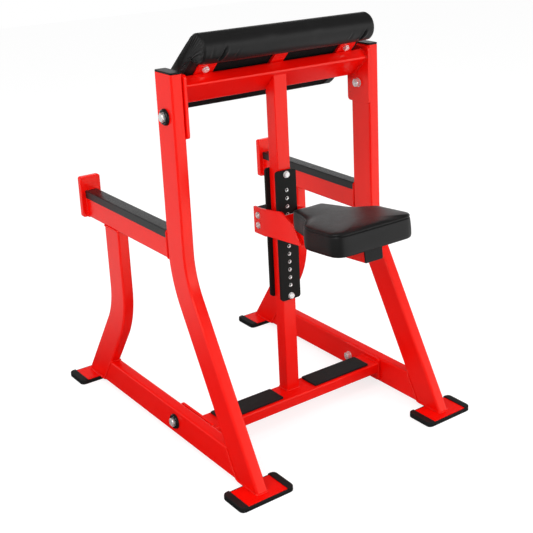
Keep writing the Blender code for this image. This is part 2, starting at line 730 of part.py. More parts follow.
def pad_lug_meshes():
    """Steel tongues welded on the crossbeam, up under the pad; the outer two take its bolts."""
    foot = TUBE_DEPTH / 2 - TUBE_CORNER
    half = LUG_WIDTH / 2
    outer_corner = arc((LUG_X + half - LUG_CORNER, LUG_CORNER - LUG_REACH), LUG_CORNER, 0.0, -pi / 2, 4)
    outline = [(LUG_X - half, foot), (LUG_X + half, foot)] + outer_corner + [(LUG_X - half, -LUG_REACH)]
    hole = circle(SMALL_BOLT_RADIUS + HOLE_CLEARANCE, (LUG_X, -PAD_BOLT_REACH), 12)
    lug = outline_mesh([outline, hole], LUG_THICKNESS + WELD_SINK)
    centre = rounded_span(-POST_WIDTH / 2, POST_WIDTH / 2, -CENTRE_LUG_REACH, foot, 0.003, 2)
    centre_lug = outline_mesh([centre], LUG_THICKNESS + WELD_SINK)
    place = at(z=beam_face + (LUG_THICKNESS - WELD_SINK) / 2)
    lug.transform(place)
    centre_lug.transform(place)
    return lug, flipped(lug), centre_lug


build_cross_members()
build_post()
build_guide_plates()


# Arm pad
def pad_section(inset):
    """The cushion's side view, drawn in by an inset: a thick slab with a roll along its front."""
    radius = PAD_ROLL_RADIUS - inset
    roll = (-PAD_ROLL_REACH, pad_top - PAD_ROLL_DROP)
    bottom = board_bottom + GAP + inset
    top = pad_top - inset
    low_end = PAD_LOW_END - inset
    join = asin((bottom - roll[1]) / radius)
    points = arc(roll, radius, join, -1.5 * pi, 12)
    top_from = roll[0] + 0.040
    top_to = low_end - 0.024
    steps = 5
    for step in range(steps + 1):
        share = step / steps
        crown = PAD_CROWN * sin(pi * share)
        points.append((top_from + (top_to - top_from) * share, top + crown))
    points += arc((low_end - 0.016, top - 0.018), 0.016, radians(70), 0.0, 4)
    points += [(low_end, bottom + 0.010), (low_end - 0.004, bottom)]
    return points


def loft_mesh(rings):
    """A closed skin through rings of equally many points, with a flat face on the first and last."""
    mesh = bpy.data.meshes.new("loft")
    shape = bmesh.new()
    rows = [[shape.verts.new(point) for point in ring] for ring in rings]
    count = len(rows[0])
    for first, second in zip(rows, rows[1:]):
        for index in range(count):
            after = (index + 1) % count
            shape.faces.new((first[index], first[after], second[after], second[index]))
    shape.faces.new(rows[0])
    shape.faces.new(rows[-1][::-1])
    bmesh.ops.recalc_face_normals(shape, faces=shape.faces)
    shape.to_mesh(mesh)
    shape.free()
    return mesh


def build_arm_pad():
    """A foam cushion on a plywood board, with drawn-in ends."""
    stations = [(PAD_HALF_LENGTH - back, inset) for back, inset in PAD_END_ROUND]
    line = [(-x, inset) for x, inset in stations] + [(x, inset) for x, inset in stations[::-1]]
    rings = [[(x, u, n) for u, n in pad_section(inset)] for x, inset in line]
    cushion = part("arm_pad_cushion", loft_mesh(rings), BLACK_VINYL, PLAN_VIEW, pad_frame)

    board_top_end = -PAD_ROLL_REACH + PAD_ROLL_RADIUS + 0.003
    low_end = PAD_LOW_END - PAD_BOARD_EDGE
    half = PAD_HALF_LENGTH - PAD_BOARD_EDGE - 0.004
    place = at(z=board_bottom + PAD_BOARD_THICKNESS / 2)
    board = part("arm_pad_board",
                 outline_mesh([rounded_span(-half, half, board_top_end, low_end, 0.012)],
                              PAD_BOARD_THICKNESS), BLACK_COVER, place, pad_frame)
    pocket = rounded_span(-half - GAP, half + GAP, board_top_end - GAP, low_end + GAP, 0.012)
    boolean(cushion, cutter("arm_pad_pocket", outline_mesh([pocket], PAD_BOARD_THICKNESS + 2 * GAP),
                            place, pad_frame))
    shank = rod_mesh(SMALL_BOLT_RADIUS + HOLE_CLEARANCE, 2 * (PAD_BOLT_DEPTH + 0.001), 12)
    holes = stamped_mesh(shank, [at(side * LUG_X, -PAD_BOLT_REACH, board_bottom)
                                 for side in side_names])
    boolean(board, cutter("arm_pad_bolt_holes", holes, PLAN_VIEW, pad_frame))


build_arm_pad()

# Seat carriage
side_plate_inner = GUIDE_WIDTH / 2 + RUNNING_CLEARANCE
side_plate_outer = side_plate_inner + CARRIAGE_PLATE
front_pad_back = guide_front - PAD_RUNNING_CLEARANCE
cross_plate_back = front_pad_back - SLIDE_PAD_THICKNESS - GAP
cross_plate_front = cross_plate_back - CARRIAGE_PLATE
rear_pad_front = rear_guide_back + PAD_RUNNING_CLEARANCE
block_front = rear_pad_front + SLIDE_PAD_THICKNESS + GAP
tab_outer = side_plate_inner + WELD_SINK
tab_inner = side_plate_inner - CARRIAGE_PLATE
block_half = tab_inner - GAP
block_centre_z = (CROSS_PLATE_BOTTOM + CROSS_PLATE_TOP) / 2

# Everything under the seat is set out from the side plates' lower front corner: y runs back
# along the support tube and z is square to it
seat_frame = bpy.data.objects.new("seat_frame", None)
bench.objects.link(seat_frame)
seat_frame.location = (0.0, set_back(SEAT_LINE[0]), SEAT_LINE[1])
seat_frame.rotation_euler = (-SEAT_TILT, 0.0, 0.0)


def build_carriage_plates():
    """Two side plates with rear tabs, joined by a slanted front plate and a cross plate."""
    rear_bottom = SEAT_LINE[1] - (CARRIAGE_REAR - SEAT_LINE[0]) * tan(SEAT_TILT)
    outline = [(CARRIAGE_REAR, rear_bottom), (CARRIAGE_REAR, CARRIAGE_REAR_TOP), CARRIAGE_PEAK,
               CARRIAGE_BROW, SEAT_LINE]
    outline = [(set_back(y), z) for y, z in outline]
    for side, label in side_names.items():
        plate = outline_mesh([outline], CARRIAGE_PLATE)
        plate.transform(at(side * (side_plate_inner + CARRIAGE_PLATE / 2)) @ SIDE_VIEW)
        tab_front = rear_guide_back + RUNNING_CLEARANCE
        tab = rounded_span(set_back(tab_front), set_back(tab_front + TAB_DEPTH), TAB_BOTTOM,
                           TAB_BOTTOM + TAB_HEIGHT, 0.003, 2)
        holes = [circle(TAB_BOLT_RADIUS + HOLE_CLEARANCE, (set_back(TAB_BOLT_SET_BACK), z))
                 for z in TAB_BOLT_HEIGHTS]
        tab = outline_mesh([tab] + holes, tab_outer - tab_inner)
        tab.transform(at(side * (tab_outer + tab_inner) / 2) @ SIDE_VIEW)
        part("carriage_side_" + label, union_mesh(plate, tab), RED_PAINT)

    run = Vector(SEAT_LINE) - Vector(CARRIAGE_BROW)
    slant = atan2(-run.y, -run.x)
    low = (SUPPORT_HEIGHT + GAP) / cos(pi / 2 - slant - SEAT_TILT)
    notch = SUPPORT_WIDTH / 2 + GAP
    outline = [(-side_plate_outer, 0.0), (-notch, 0.0), (-notch, low), (notch, low), (notch, 0.0),
               (side_plate_outer, 0.0), (side_plate_outer, run.length), (-side_plate_outer, run.length)]
    lift = FRONT_PLATE_THICKNESS / 2 + GAP
    corner = at(0.0, set_back(SEAT_LINE[0]), SEAT_LINE[1])
    place = corner @ Matrix.Rotation(slant, 4, "X") @ at(z=lift)
    part("carriage_front_plate", outline_mesh([outline], FRONT_PLATE_THICKNESS), RED_PAINT, place)

    half = side_plate_inner - GAP
    outline = [(-half, CROSS_PLATE_BOTTOM), (half, CROSS_PLATE_BOTTOM), (half, CROSS_PLATE_TOP),
               (-half, CROSS_PLATE_TOP)]
    hole = circle(HOUSING_RADIUS + GAP, (0.0, pin_z))
    part("carriage_cross_plate", outline_mesh([outline, hole], CARRIAGE_PLATE), RED_PAINT,
         at(0.0, set_back(cross_plate_front + CARRIAGE_PLATE / 2)) @ FRONT_VIEW)


def build_slider():
    """The block behind the post, and a nylon pad on each side of the guide plates."""
    block_place = at(0.0, set_back(block_front + BLOCK_DEPTH / 2), block_centre_z)
    block = part("rear_slider_block", box_mesh(2 * block_half, BLOCK_DEPTH, BLOCK_HEIGHT),
                 BLACK_COATING, block_place)
    bevel_edges(block, 0.001, 1)
    hole = rod_mesh(TAB_BOLT_RADIUS + HOLE_CLEARANCE, 4 * block_half)
    places = [at(0.0, set_back(TAB_BOLT_SET_BACK), z) @ RIGHTWARD for z in TAB_BOLT_HEIGHTS]
    boolean(block, cutter("slider_bolt_holes", stamped_mesh(hole, places)))

    height = CROSS_PLATE_TOP - CROSS_PLATE_BOTTOM
    outline = rounded_box(2 * SLIDE_PAD_HALF_WIDTH, height, 0.003, (0.0, block_centre_z), 2)
    hole = circle(PIN_RADIUS + 2 * PIN_CLEARANCE, (0.0, pin_z), 12)
    part("front_slide_pad", outline_mesh([outline, hole], SLIDE_PAD_THICKNESS), GREY_NYLON,
         at(0.0, set_back(front_pad_back - SLIDE_PAD_THICKNESS / 2)) @ FRONT_VIEW)
    part("rear_slide_pad", outline_mesh([outline], SLIDE_PAD_THICKNESS), GREY_NYLON,
         at(0.0, set_back(rear_pad_front + SLIDE_PAD_THICKNESS / 2)) @ FRONT_VIEW)


def build_seat_support():
    """The flat tube that carries the seat, plugged at its front end."""
    middle = SUPPORT_BACK - SUPPORT_LENGTH / 2
    part("seat_support_tube",
         tube_mesh(SUPPORT_WIDTH, SUPPORT_HEIGHT, SUPPORT_LENGTH, SUPPORT_CORNER), RED_PAINT,
         at(0.0, middle, SUPPORT_HEIGHT / 2) @ FRONT_VIEW, seat_frame)

    flange = bpy.data.objects.new("flange", outline_mesh(
        [rounded_box(SUPPORT_WIDTH, SUPPORT_HEIGHT, SUPPORT_CORNER)], SUPPORT_CAP_FLANGE))
    cutters.objects.link(flange)
    bevel_edges(flange, 0.0015, 2)
    clearance = TUBE_WALL + GAP
    plug = outline_mesh([rounded_box(SUPPORT_WIDTH - 2 * clearance, SUPPORT_HEIGHT - 2 * clearance,
                                     0.002, steps=2)], CAP_PLUG + SUPPORT_CAP_FLANGE / 2)
    plug.transform(at(z=-(CAP_PLUG + SUPPORT_CAP_FLANGE / 2) / 2))
    end = SUPPORT_BACK - SUPPORT_LENGTH - GAP - SUPPORT_CAP_FLANGE / 2
    part("seat_tube_cap", union_mesh(evaluated_mesh(flange), plug), BLACK_PLASTIC,
         at(0.0, end, SUPPORT_HEIGHT / 2) @ FRONT_VIEW, seat_frame)


def seat_plan():
    """Half-widths of the seat from its nose to its rear: (distance ahead, half-width)."""
    nose = [(-SEAT_NOSE_TIP, SEAT_NOSE_HALF - 0.010), (-SEAT_NOSE_TIP + 0.003, SEAT_NOSE_HALF - 0.003),
            (-SEAT_NOSE_TIP + 0.010, SEAT_NOSE_HALF)]
    flare = [(0.045, SEAT_NOSE_HALF + 0.35 * (SEAT_FLANK_HALF - SEAT_NOSE_HALF)),
             (SEAT_FLANK_END - 0.016, SEAT_FLANK_HALF - 0.006), (SEAT_FLANK_END, SEAT_FLANK_HALF)]
    shoulder = [(SEAT_FLANK_END + 0.012, SEAT_FLANK_HALF + 0.010),
                (SEAT_SHOULDER - 0.012, SEAT_SHOULDER_HALF - 0.011),
                (SEAT_SHOULDER, SEAT_SHOULDER_HALF), (SEAT_SHOULDER + 0.020, SEAT_WIDEST_HALF - 0.001)]
    widest = [(SEAT_WIDEST, SEAT_WIDEST_HALF)]
    centre = (SEAT_REAR - SEAT_REAR_CORNER, SEAT_WIDEST_HALF - SEAT_REAR_CORNER)
    rear = arc(centre, SEAT_REAR_CORNER, pi / 2, radians(14), 5)
    return nose + flare + shoulder + widest + rear


def seat_ring(ahead, half, draw):
    """One cross-section of the seat cushion: flat below, drawn-in sides, a seam and a crown."""
    lift = SEAT_NOSE_LIFT * max(0.0, 1.0 - (ahead + SEAT_NOSE_TIP) / SEAT_FLANK_END)
    low = SUPPORT_HEIGHT + GAP + lift + draw
    high = SUPPORT_HEIGHT + SEAT_SIDE - draw
    middle = (low + high) / 2
    wide = half / SEAT_WIDEST_HALF
    side = [(0.5 * half, low), (half - 0.007, low), (half - 0.002, low + 0.004),
            (half - 0.003, middle), (half - 0.0005, high - 0.014), (half - 0.0035, high - 0.0105),
            (half - 0.0015, high - 0.007), (half - 0.006, high - 0.0015),
            (half - 0.018, high + 0.25 * SEAT_CROWN * wide), (0.5 * half, high + 0.8 * SEAT_CROWN * wide)]
    ring = [(0.0, low)] + side + [(0.0, high + SEAT_CROWN * wide)] + [(-x, z) for x, z in side[::-1]]
    return [(x, -ahead, z) for x, z in ring]


def build_seat():
    """A foam cushion, narrow at its nose and wide behind its shoulders, on a plywood board."""
    plan = seat_plan()
    rings = [seat_ring(ahead, half, 0.0) for ahead, half in plan]
    first, last = plan[0], plan[-1]
    rings.insert(0, seat_ring(first[0] - 0.0022, first[1] - 0.006, 0.006))
    rings.append(seat_ring(last[0] + 0.0022, last[1] - 0.012, 0.006))
    cushion = part("seat_cushion", loft_mesh(rings), BLACK_VINYL, PLAN_VIEW, seat_frame)

    inner = [(ahead, half - SEAT_BOARD_EDGE) for ahead, half in plan]
    inner = [(min(max(ahead, SEAT_BOARD_EDGE * 3 - SEAT_NOSE_TIP), SEAT_REAR - SEAT_BOARD_EDGE), half)
             for ahead, half in inner]
    board_lift = SUPPORT_HEIGHT + GAP + SEAT_BOARD_THICKNESS / 2

    def board_outline(extra):
        right = []
        for ahead, half in inner:
            if not right or abs(right[-1][1] + ahead) > 0.002:
                right.append((half + extra, -ahead))
        right[0] = (right[0][0], right[0][1] + extra)
        right[-1] = (right[-1][0], right[-1][1] - extra)
        return right + [(-x, y) for x, y in right[::-1]]

    part("seat_board", outline_mesh([board_outline(0.0)], SEAT_BOARD_THICKNESS), BLACK_COVER,
         at(z=board_lift), seat_frame)
    pocket_height = SEAT_BOARD_THICKNESS + 2 * GAP
    boolean(cushion, cutter("seat_pocket", outline_mesh([board_outline(GAP)], 2 * pocket_height),
                            at(z=board_lift - pocket_height / 2), seat_frame))


def build_pull_pin():
    """The pin that locks the seat's height, parked just clear of its hole, with knob and housing."""
    tip = guide_front - PIN_TIP_CLEARANCE
    housing_back = cross_plate_back
    housing_front = housing_back - HOUSING_LENGTH
    knob_back = housing_front - KNOB_STOP - PIN_TRAVEL
    centre = at(0.0, 0.0, pin_z)

    bore = PIN_RADIUS + GAP
    flange_back = cross_plate_front - GAP
    flange_front = flange_back - HOUSING_FLANGE
    profile = [(HOUSING_RADIUS, housing_back), (HOUSING_RADIUS, flange_back),
               (HOUSING_FLANGE_RADIUS, flange_back), (HOUSING_FLANGE_RADIUS, flange_front),
               (HOUSING_RADIUS, flange_front), (HOUSING_RADIUS, housing_front), (bore, housing_front),
               (bore, housing_back)]
    part("pin_housing", turned_mesh(profile, 16, closed=True), ZINC,
         centre @ at(y=FRONT_FACE_Y) @ BACKWARD)

    knob_seat = knob_back - 0.65 * KNOB_LENGTH
    chamfer = 0.001
    pin = [(0.0, tip), (PIN_RADIUS - chamfer, tip), (PIN_RADIUS, tip - chamfer),
           (PIN_RADIUS, knob_seat), (0.0, knob_seat)]
    moving = at(0.0, FRONT_FACE_Y, pin_z) @ BACKWARD
    part("pull_pin", turned_mesh(pin, 12), ZINC, moving)

    front = knob_back - KNOB_LENGTH
    waist = 0.75 * KNOB_RADIUS
    hole = PIN_RADIUS + GAP
    knob = [(waist, knob_back), (KNOB_RADIUS - 0.002, knob_back - 0.006),
            (KNOB_RADIUS, knob_back - 0.010), (KNOB_RADIUS, front + 0.004),
            (KNOB_RADIUS - 0.004, front), (0.0, front), (0.0, knob_seat - GAP),
            (hole, knob_seat - GAP), (hole, knob_back), (waist, knob_back)]
    part("pin_knob", turned_mesh(knob, 20), BLACK_PLASTIC, moving)


build_carriage_plates()
build_slider()
build_seat_support()
build_seat()
build_pull_pin()


# Fasteners
def hex_bolt_mesh(across, head_height, radius, length, nut=None):
    """A bolt along z: its head above z = 0, its shank below, and a nut as (height, its top's depth)."""
    head = rod_mesh(across / 2, head_height, 6)
    head.transform(at(z=head_height / 2))
    overlap = head_height / 2
    shank = rod_mesh(radius, length + overlap, 12)
    shank.transform(at(z=(overlap - length) / 2))
    bolt = union_mesh(head, shank)
    if nut:
        nut_height, depth = nut
        body = rod_mesh(across / 2, nut_height, 6)
        body.transform(at(z=-depth - nut_height / 2))
        bolt = union_mesh(bolt, body)
    return bolt


def build_frame_bolts():
    """Four bolts along X, each with its plastic cup washer outside and its nut inside."""
    outside = SIDE_X + TUBE_WIDTH / 2 + GAP
    seat = outside + CUP_FLOOR
    nut_outer = end_plate_inner - GAP
    grip = seat - nut_outer
    bolt = hex_bolt_mesh(FRAME_BOLT_HEAD, FRAME_BOLT_HEAD_HEIGHT, FRAME_BOLT_RADIUS,
                         grip + FRAME_NUT_HEIGHT + BOLT_END, (FRAME_NUT_HEIGHT, grip))
    recess = FRAME_BOLT_HEAD / 2 + 0.0015
    inside = FRAME_BOLT_RADIUS / 2
    floor = CUP_FLOOR + WELD_SINK
    cup = turned_mesh([(recess + 0.0015, CUP_RIM), (CUP_RADIUS - 0.003, CUP_RIM - 0.0008),
                       (CUP_RADIUS - 0.0006, CUP_RIM * 0.5), (CUP_RADIUS, 0.0), (inside, 0.0),
                       (inside, floor), (recess - 0.001, floor), (recess, CUP_RIM - 0.001)], 20,
                      closed=True)
    cup.transform(at(z=-CUP_FLOOR))
    bolt = union_mesh(bolt, cup)
    for side, label in side_names.items():
        for level, (back, height) in (("top", TOP_BOLT), ("bottom", BOTTOM_BOLT)):
            place = at(side * seat, set_back(back), height) @ Matrix.Rotation(side * pi / 2, 4, "Y")
            part("frame_bolt_" + level + "_" + label, bolt.copy(), ZINC, place)


def build_guide_bolts():
    """Two bolts through both guide plates and the post, with their nuts behind."""
    head_back = guide_front - GAP
    nut_depth = rear_guide_back + GAP - head_back
    bolt = hex_bolt_mesh(SMALL_HEAD, SMALL_HEAD_HEIGHT, SMALL_BOLT_RADIUS,
                         nut_depth + SMALL_NUT_HEIGHT + BOLT_END, (SMALL_NUT_HEIGHT, nut_depth))
    for label, z in zip(("lower", "upper"), guide_bolt_heights):
        part("guide_bolt_" + label, bolt.copy(), ZINC, at(0.0, set_back(head_back), z) @ FRONT_VIEW)


def build_pad_bolts():
    """Two bolts through the outer lugs into the arm pad's board."""
    head_top = lug_bottom - GAP
    bolt = hex_bolt_mesh(SMALL_HEAD, SMALL_HEAD_HEIGHT, SMALL_BOLT_RADIUS,
                         board_bottom + PAD_BOLT_DEPTH - head_top)
    for side, label in side_names.items():
        part("pad_bolt_" + label, bolt.copy(), ZINC,
             at(side * LUG_X, -PAD_BOLT_REACH, head_top) @ DOWNWARD, pad_frame)


def build_tab_bolts():
    """Two barrel bolts through both tabs and the slider block, with a domed head at each end."""
    grip = tab_outer + GAP
    head = DOME_HEAD_RADIUS
    top = grip + DOME_HEAD_HEIGHT
    outer = [(0.0, top - 0.0030), (0.0038, top - 0.0030), (0.0042, top),
             (0.62 * head, top - 0.14 * DOME_HEAD_HEIGHT), (0.90 * head, top - 0.55 * DOME_HEAD_HEIGHT),
             (head, grip), (TAB_BOLT_RADIUS, grip)]
    bolt = turned_mesh(outer + [(radius, -height) for radius, height in outer[::-1]], 14)
    for label, z in zip(("lower", "upper"), TAB_BOLT_HEIGHTS):
        part("tab_bolt_" + label, bolt.copy(), ZINC,
             at(0.0, set_back(TAB_BOLT_SET_BACK), z) @ RIGHTWARD)


build_frame_bolts()
build_guide_bolts()
build_pad_bolts()
build_tab_bolts()
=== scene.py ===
"""Preacher bench, dressed: red powder-coated frame, black vinyl pads, bright bolts.

+X is the sitter's left to right, the sitter faces +Y, +Z is up, and lengths are metres. The sections
follow the bench as it is put together, and each holds all that its own pieces need.
"""
import json
from math import asin, atan2, cos, exp, pi, radians, sin, tan

import bmesh
import bpy
from mathutils import Matrix, Vector
from mathutils.bvhtree import BVHTree


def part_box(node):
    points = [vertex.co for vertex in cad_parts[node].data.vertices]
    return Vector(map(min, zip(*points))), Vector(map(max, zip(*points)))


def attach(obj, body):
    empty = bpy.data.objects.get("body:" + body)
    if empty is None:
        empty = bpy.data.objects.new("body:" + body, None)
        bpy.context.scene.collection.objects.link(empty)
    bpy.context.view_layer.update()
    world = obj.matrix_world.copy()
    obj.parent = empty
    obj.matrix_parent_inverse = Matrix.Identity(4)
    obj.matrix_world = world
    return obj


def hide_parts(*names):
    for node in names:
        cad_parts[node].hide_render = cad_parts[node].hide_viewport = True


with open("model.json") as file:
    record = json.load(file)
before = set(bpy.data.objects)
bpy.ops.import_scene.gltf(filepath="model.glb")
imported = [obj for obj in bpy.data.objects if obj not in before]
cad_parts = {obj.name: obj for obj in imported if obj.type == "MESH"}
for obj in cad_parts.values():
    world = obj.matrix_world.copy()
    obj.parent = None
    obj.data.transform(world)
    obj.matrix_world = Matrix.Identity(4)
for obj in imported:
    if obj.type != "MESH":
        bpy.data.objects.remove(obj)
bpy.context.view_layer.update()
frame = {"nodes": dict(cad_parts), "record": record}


# Side frames: front uprights and rear legs
# Four flat steel tubes, 90 by 36 mm with a 2.5 mm wall and rounded corners, each bent once on a
# mandrel, cut level at both ends and powder coated in a glossy red after the welding.
class Wire:
    """The output of a node. Arithmetic on wires adds Math nodes to their tree."""

    def __init__(self, tree, socket):
        self.tree = tree
        self.socket = socket

    def math(self, operation, first, second):
        return self.tree.add("ShaderNodeMath", {"operation": operation}, {0: first, 1: second})

    def __add__(self, other):
        return self.math("ADD", self, other)

    def __radd__(self, other):
        return self.math("ADD", other, self)

    def __sub__(self, other):
        return self.math("SUBTRACT", self, other)

    def __rsub__(self, other):
        return self.math("SUBTRACT", other, self)

    def __mul__(self, other):
        return self.math("MULTIPLY", self, other)

    def __rmul__(self, other):
        return self.math("MULTIPLY", other, self)

    def __truediv__(self, other):
        return self.math("DIVIDE", self, other)

    def __gt__(self, other):
        return self.math("GREATER_THAN", self, other)

    def other(self, name):
        """Another output of the same node."""
        return Wire(self.tree, self.socket.node.outputs[name])


class Tree:
    """Adds nodes to a tree, of any kind, by one method."""

    def __init__(self, tree):
        self.tree = tree

    def add(self, kind, settings=None, inputs=None, output=0):
        """A node with its settings made first, then the values or wires of its sockets."""
        node = self.tree.nodes.new(kind)
        for name, value in (settings or {}).items():
            setattr(node, name, value)
        self.fill(node, inputs or {})
        return Wire(self, node.outputs[output])

    def fill(self, node, inputs):
        """Gives a node's sockets their values, or links their wires."""
        for key, value in inputs.items():
            if isinstance(value, Wire):
                self.tree.links.new(value.socket, node.inputs[key])
            else:
                node.inputs[key].default_value = value


class Finish(Tree):
    """A material: one Principled shader, read in the bench's own metres."""

    def __init__(self, name, colour, clouds, sheen, metallic=0.0, specular=0.5, tint=(1.0, 1.0, 1.0)):
        """Clouds are two multiples of the colour and the size and detail of the noise between them,
        or None. Sheen is one roughness, or two and their noise."""
        self.material = bpy.data.materials.new(name)
        self.material.use_nodes = True
        super().__init__(self.material.node_tree)
        self.shader = self.tree.nodes["Principled BSDF"]
        self.place = self.add("ShaderNodeTexCoord").other("Object")
        roughness, shade = sheen, (*colour, 1.0)
        if clouds:
            low, high = (tuple(min(1.0, part * factor) for part in colour) + (1.0,)
                         for factor in clouds[:2])
            shade = self.add("ShaderNodeMix", {"data_type": "RGBA"},
                             {0: self.noise(*clouds[2:]), 6: low, 7: high}, output=2)
        if isinstance(sheen, tuple):
            smooth, rough = sheen[:2]
            roughness = self.noise(*sheen[2:]) * (rough - smooth) + smooth
        self.fill(self.shader, {"Base Color": shade, "Roughness": roughness, "Metallic": metallic,
                                "Specular IOR Level": specular, "Specular Tint": (*tint, 1.0)})

    def noise(self, size, detail):
        """Cloudy noise, 0 to 1, whose lumps are about so many metres across."""
        return self.add("ShaderNodeTexNoise", {"normalize": True},
                        {"Vector": self.place, "Scale": 1.0 / size, "Detail": detail})

    def cells(self, size):
        """Distance to the middle of rounded cells of about that size."""
        return self.add("ShaderNodeTexVoronoi", {"feature": "F1"},
                        {"Vector": self.place, "Scale": 1.0 / size})

    def along(self, axis):
        """The place on one axis, in metres."""
        return self.add("ShaderNodeSeparateXYZ", {}, {0: self.place}).other("XYZ"[axis])

    def relief(self, *layers, edge=None):
        """Bump layers as (height, distance in metres), over edges rounded to a radius."""
        normal = None
        if edge:
            normal = self.add("ShaderNodeBevel", {"samples": 6}, {"Radius": edge})
        for height, distance in layers:
            inputs = {"Strength": 1.0, "Distance": distance, "Height": height}
            if normal:
                inputs["Normal"] = normal
            normal = self.add("ShaderNodeBump", {}, inputs)
        self.fill(self.shader, {"Normal": normal})
        return self.material


def placed(name, data):
    """An object in the scene."""
    item = bpy.data.objects.new(name, data)
    bpy.context.scene.collection.objects.link(item)
    return item


def plain(item):
    """The mesh that an object's modifiers make of it; the object goes."""
    bpy.context.view_layer.update()
    graph = bpy.context.evaluated_depsgraph_get()
    mesh = bpy.data.meshes.new_from_object(item.evaluated_get(graph))
    bpy.data.objects.remove(item, do_unlink=True)
    return mesh


class Shape(Tree):
    """A geometry tree with named inputs; run() turns its result into a plain mesh."""

    def __init__(self, name, **sizes):
        super().__init__(bpy.data.node_groups.new(name, "GeometryNodeTree"))
        face = self.tree.interface
        face.new_socket("Geometry", in_out="INPUT", socket_type="NodeSocketGeometry")
        face.new_socket("Geometry", in_out="OUTPUT", socket_type="NodeSocketGeometry")
        sizes["Finish"] = "Material"
        self.identifiers = {}
        for label, kind in sizes.items():
            socket = face.new_socket(label, in_out="INPUT", socket_type="NodeSocket" + kind)
            self.identifiers[label] = socket.identifier
        self.source = self.tree.nodes.new("NodeGroupInput")

    def size(self, label):
        return Wire(self, self.source.outputs[label])

    def close(self, geometry):
        """Ends the tree: instances become real and take the finish."""
        real = self.add("GeometryNodeRealizeInstances", {}, {0: geometry})
        done = self.add("GeometryNodeSetMaterial", {}, {0: real, "Material": self.size("Finish")})
        end = self.tree.nodes.new("NodeGroupOutput")
        self.tree.links.new(done.socket, end.inputs[0])

    def run(self, base, **values):
        """The mesh that the tree makes of a base object, which goes."""
        change = base.modifiers.new(self.tree.name, "NODES")
        change.node_group = self.tree
        for label, value in values.items():
            change[self.identifiers[label]] = value
        return plain(base)


def poly_lines(lines, closed=False):
    """A curve object with a spline through each list of points."""
    curve = bpy.data.curves.new("line", "CURVE")
    curve.dimensions = "3D"
    for points in lines:
        spline = curve.splines.new("POLY")
        spline.points.add(len(points) - 1)
        for place, point in zip(spline.points, points):
            place.co = (*point, 1.0)
        spline.use_cyclic_u = closed
    return placed("line", curve)


def piece(name, mesh, body, slot, finish, *stands_for, crease=35):
    """A finished piece on its body: smooth over its rounds, sharp at its edges."""
    mesh.name = name
    mesh.shade_smooth()
    mesh.set_sharp_from_angle(angle=radians(crease))
    mesh.materials.clear()
    mesh.materials.append(finish)
    item = placed(name, mesh)
    even = item.modifiers.new("even_faces", "WEIGHTED_NORMAL")
    even.keep_sharp = True
    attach(item, body)
    if stands_for:
        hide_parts(*stands_for)
    return item


coat = Finish("red_powder_coat", (0.86, 0.0030, 0.0010), (0.965, 1.03, 0.05, 3.0), 0.24,
              tint=(1.0, 0.92, 0.74))
red_coat = coat.relief((coat.noise(0.0055, 1.0), 0.00003))


tube = Shape("flat_tube", Width="Float", Depth="Float", Corner="Float", Across="Vector",
             StartPoint="Vector", StartFace="Vector", StartRun="Vector",
             EndPoint="Vector", EndFace="Vector", EndRun="Vector")
section = tube.add("GeometryNodeCurvePrimitiveQuadrilateral", {},
                   {"Width": tube.size("Width"), "Height": tube.size("Depth")})
section = tube.add("GeometryNodeFilletCurve", {"mode": "POLY"},
                   {0: section, "Radius": tube.size("Corner"), "Count": 6})
path = tube.add("GeometryNodeSetCurveNormal", {"mode": "FREE"},
                {0: tube.size("Geometry"), "Normal": tube.size("Across")})
cut = tube.add("GeometryNodeCurveToMesh", {}, {0: path, 1: section, "Fill Caps": True})
for end in ("Start", "End"):
    beyond = tube.add("ShaderNodeVectorMath", {"operation": "SUBTRACT"},
                      {0: tube.add("GeometryNodeInputPosition"), 1: tube.size(end + "Point")})
    beyond = tube.add("ShaderNodeVectorMath", {"operation": "DOT_PRODUCT"},
                      {0: beyond, 1: tube.size(end + "Face")}, output=1)
    pull = tube.add("ShaderNodeVectorMath", {"operation": "SCALE"},
                    {0: tube.size(end + "Run"), "Scale": 0.0 - beyond})
    cut = tube.add("GeometryNodeSetPosition", {},
                   {0: cut, "Selection": beyond > 0.0, "Offset": pull})
tube.close(cut)


sides = {"left": -1, "right": 1}
TUBE_WIDTH = 0.036
TUBE_DEPTH = 0.090
TUBE_CORNER = 0.0065
BEND_STEPS = 24
OVERSHOOT = 0.05               # of a tube's line beyond its two cuts
SIDEWAYS = (1.0, 0.0, 0.0)
SIDE_X = 0.339
UPRIGHT_LEAN = radians(-30)
REAR_LEG_LEAN = radians(36)


def saw_cut(point, face, run):
    """A plane that a tube ends on, and the way along the tube to it, scaled to the plane."""
    face, run = Vector(face).normalized(), Vector(run)
    return {"Point": Vector(point), "Face": face, "Run": run / run.dot(face)}


def flat_tube(name, node, line, depth, start, end):
    """A tube swept along a line that overshoots its two cuts."""
    sizes = {"Width": TUBE_WIDTH, "Depth": depth, "Corner": TUBE_CORNER, "Across": SIDEWAYS,
             "Finish": red_coat}
    for label, plane in (("Start", start), ("End", end)):
        for part_name, value in plane.items():
            sizes[label + part_name] = value
    return piece(name, tube.run(poly_lines([line]), **sizes), "frame", "frame_paint", red_coat, node)


def bent_line(x, start, corner, end, radius):
    """Centre line in a side view: two straight runs with an arc between them."""
    start, corner, end = Vector(start), Vector(corner), Vector(end)
    into = (corner - start).normalized()
    out = (end - corner).normalized()
    turn = into.angle(out)
    first = corner - into * radius * tan(turn / 2)
    inward = Vector((-into.y, into.x))
    if inward.dot(out) < 0:
        inward.negate()
    centre = first + inward * radius
    line = [start]
    for step in range(BEND_STEPS + 1):
        angle = turn * step / BEND_STEPS
        line.append(centre - inward * radius * cos(angle) + into * radius * sin(angle))
    line.append(end)
    return [(x, point.x, point.y) for point in line]


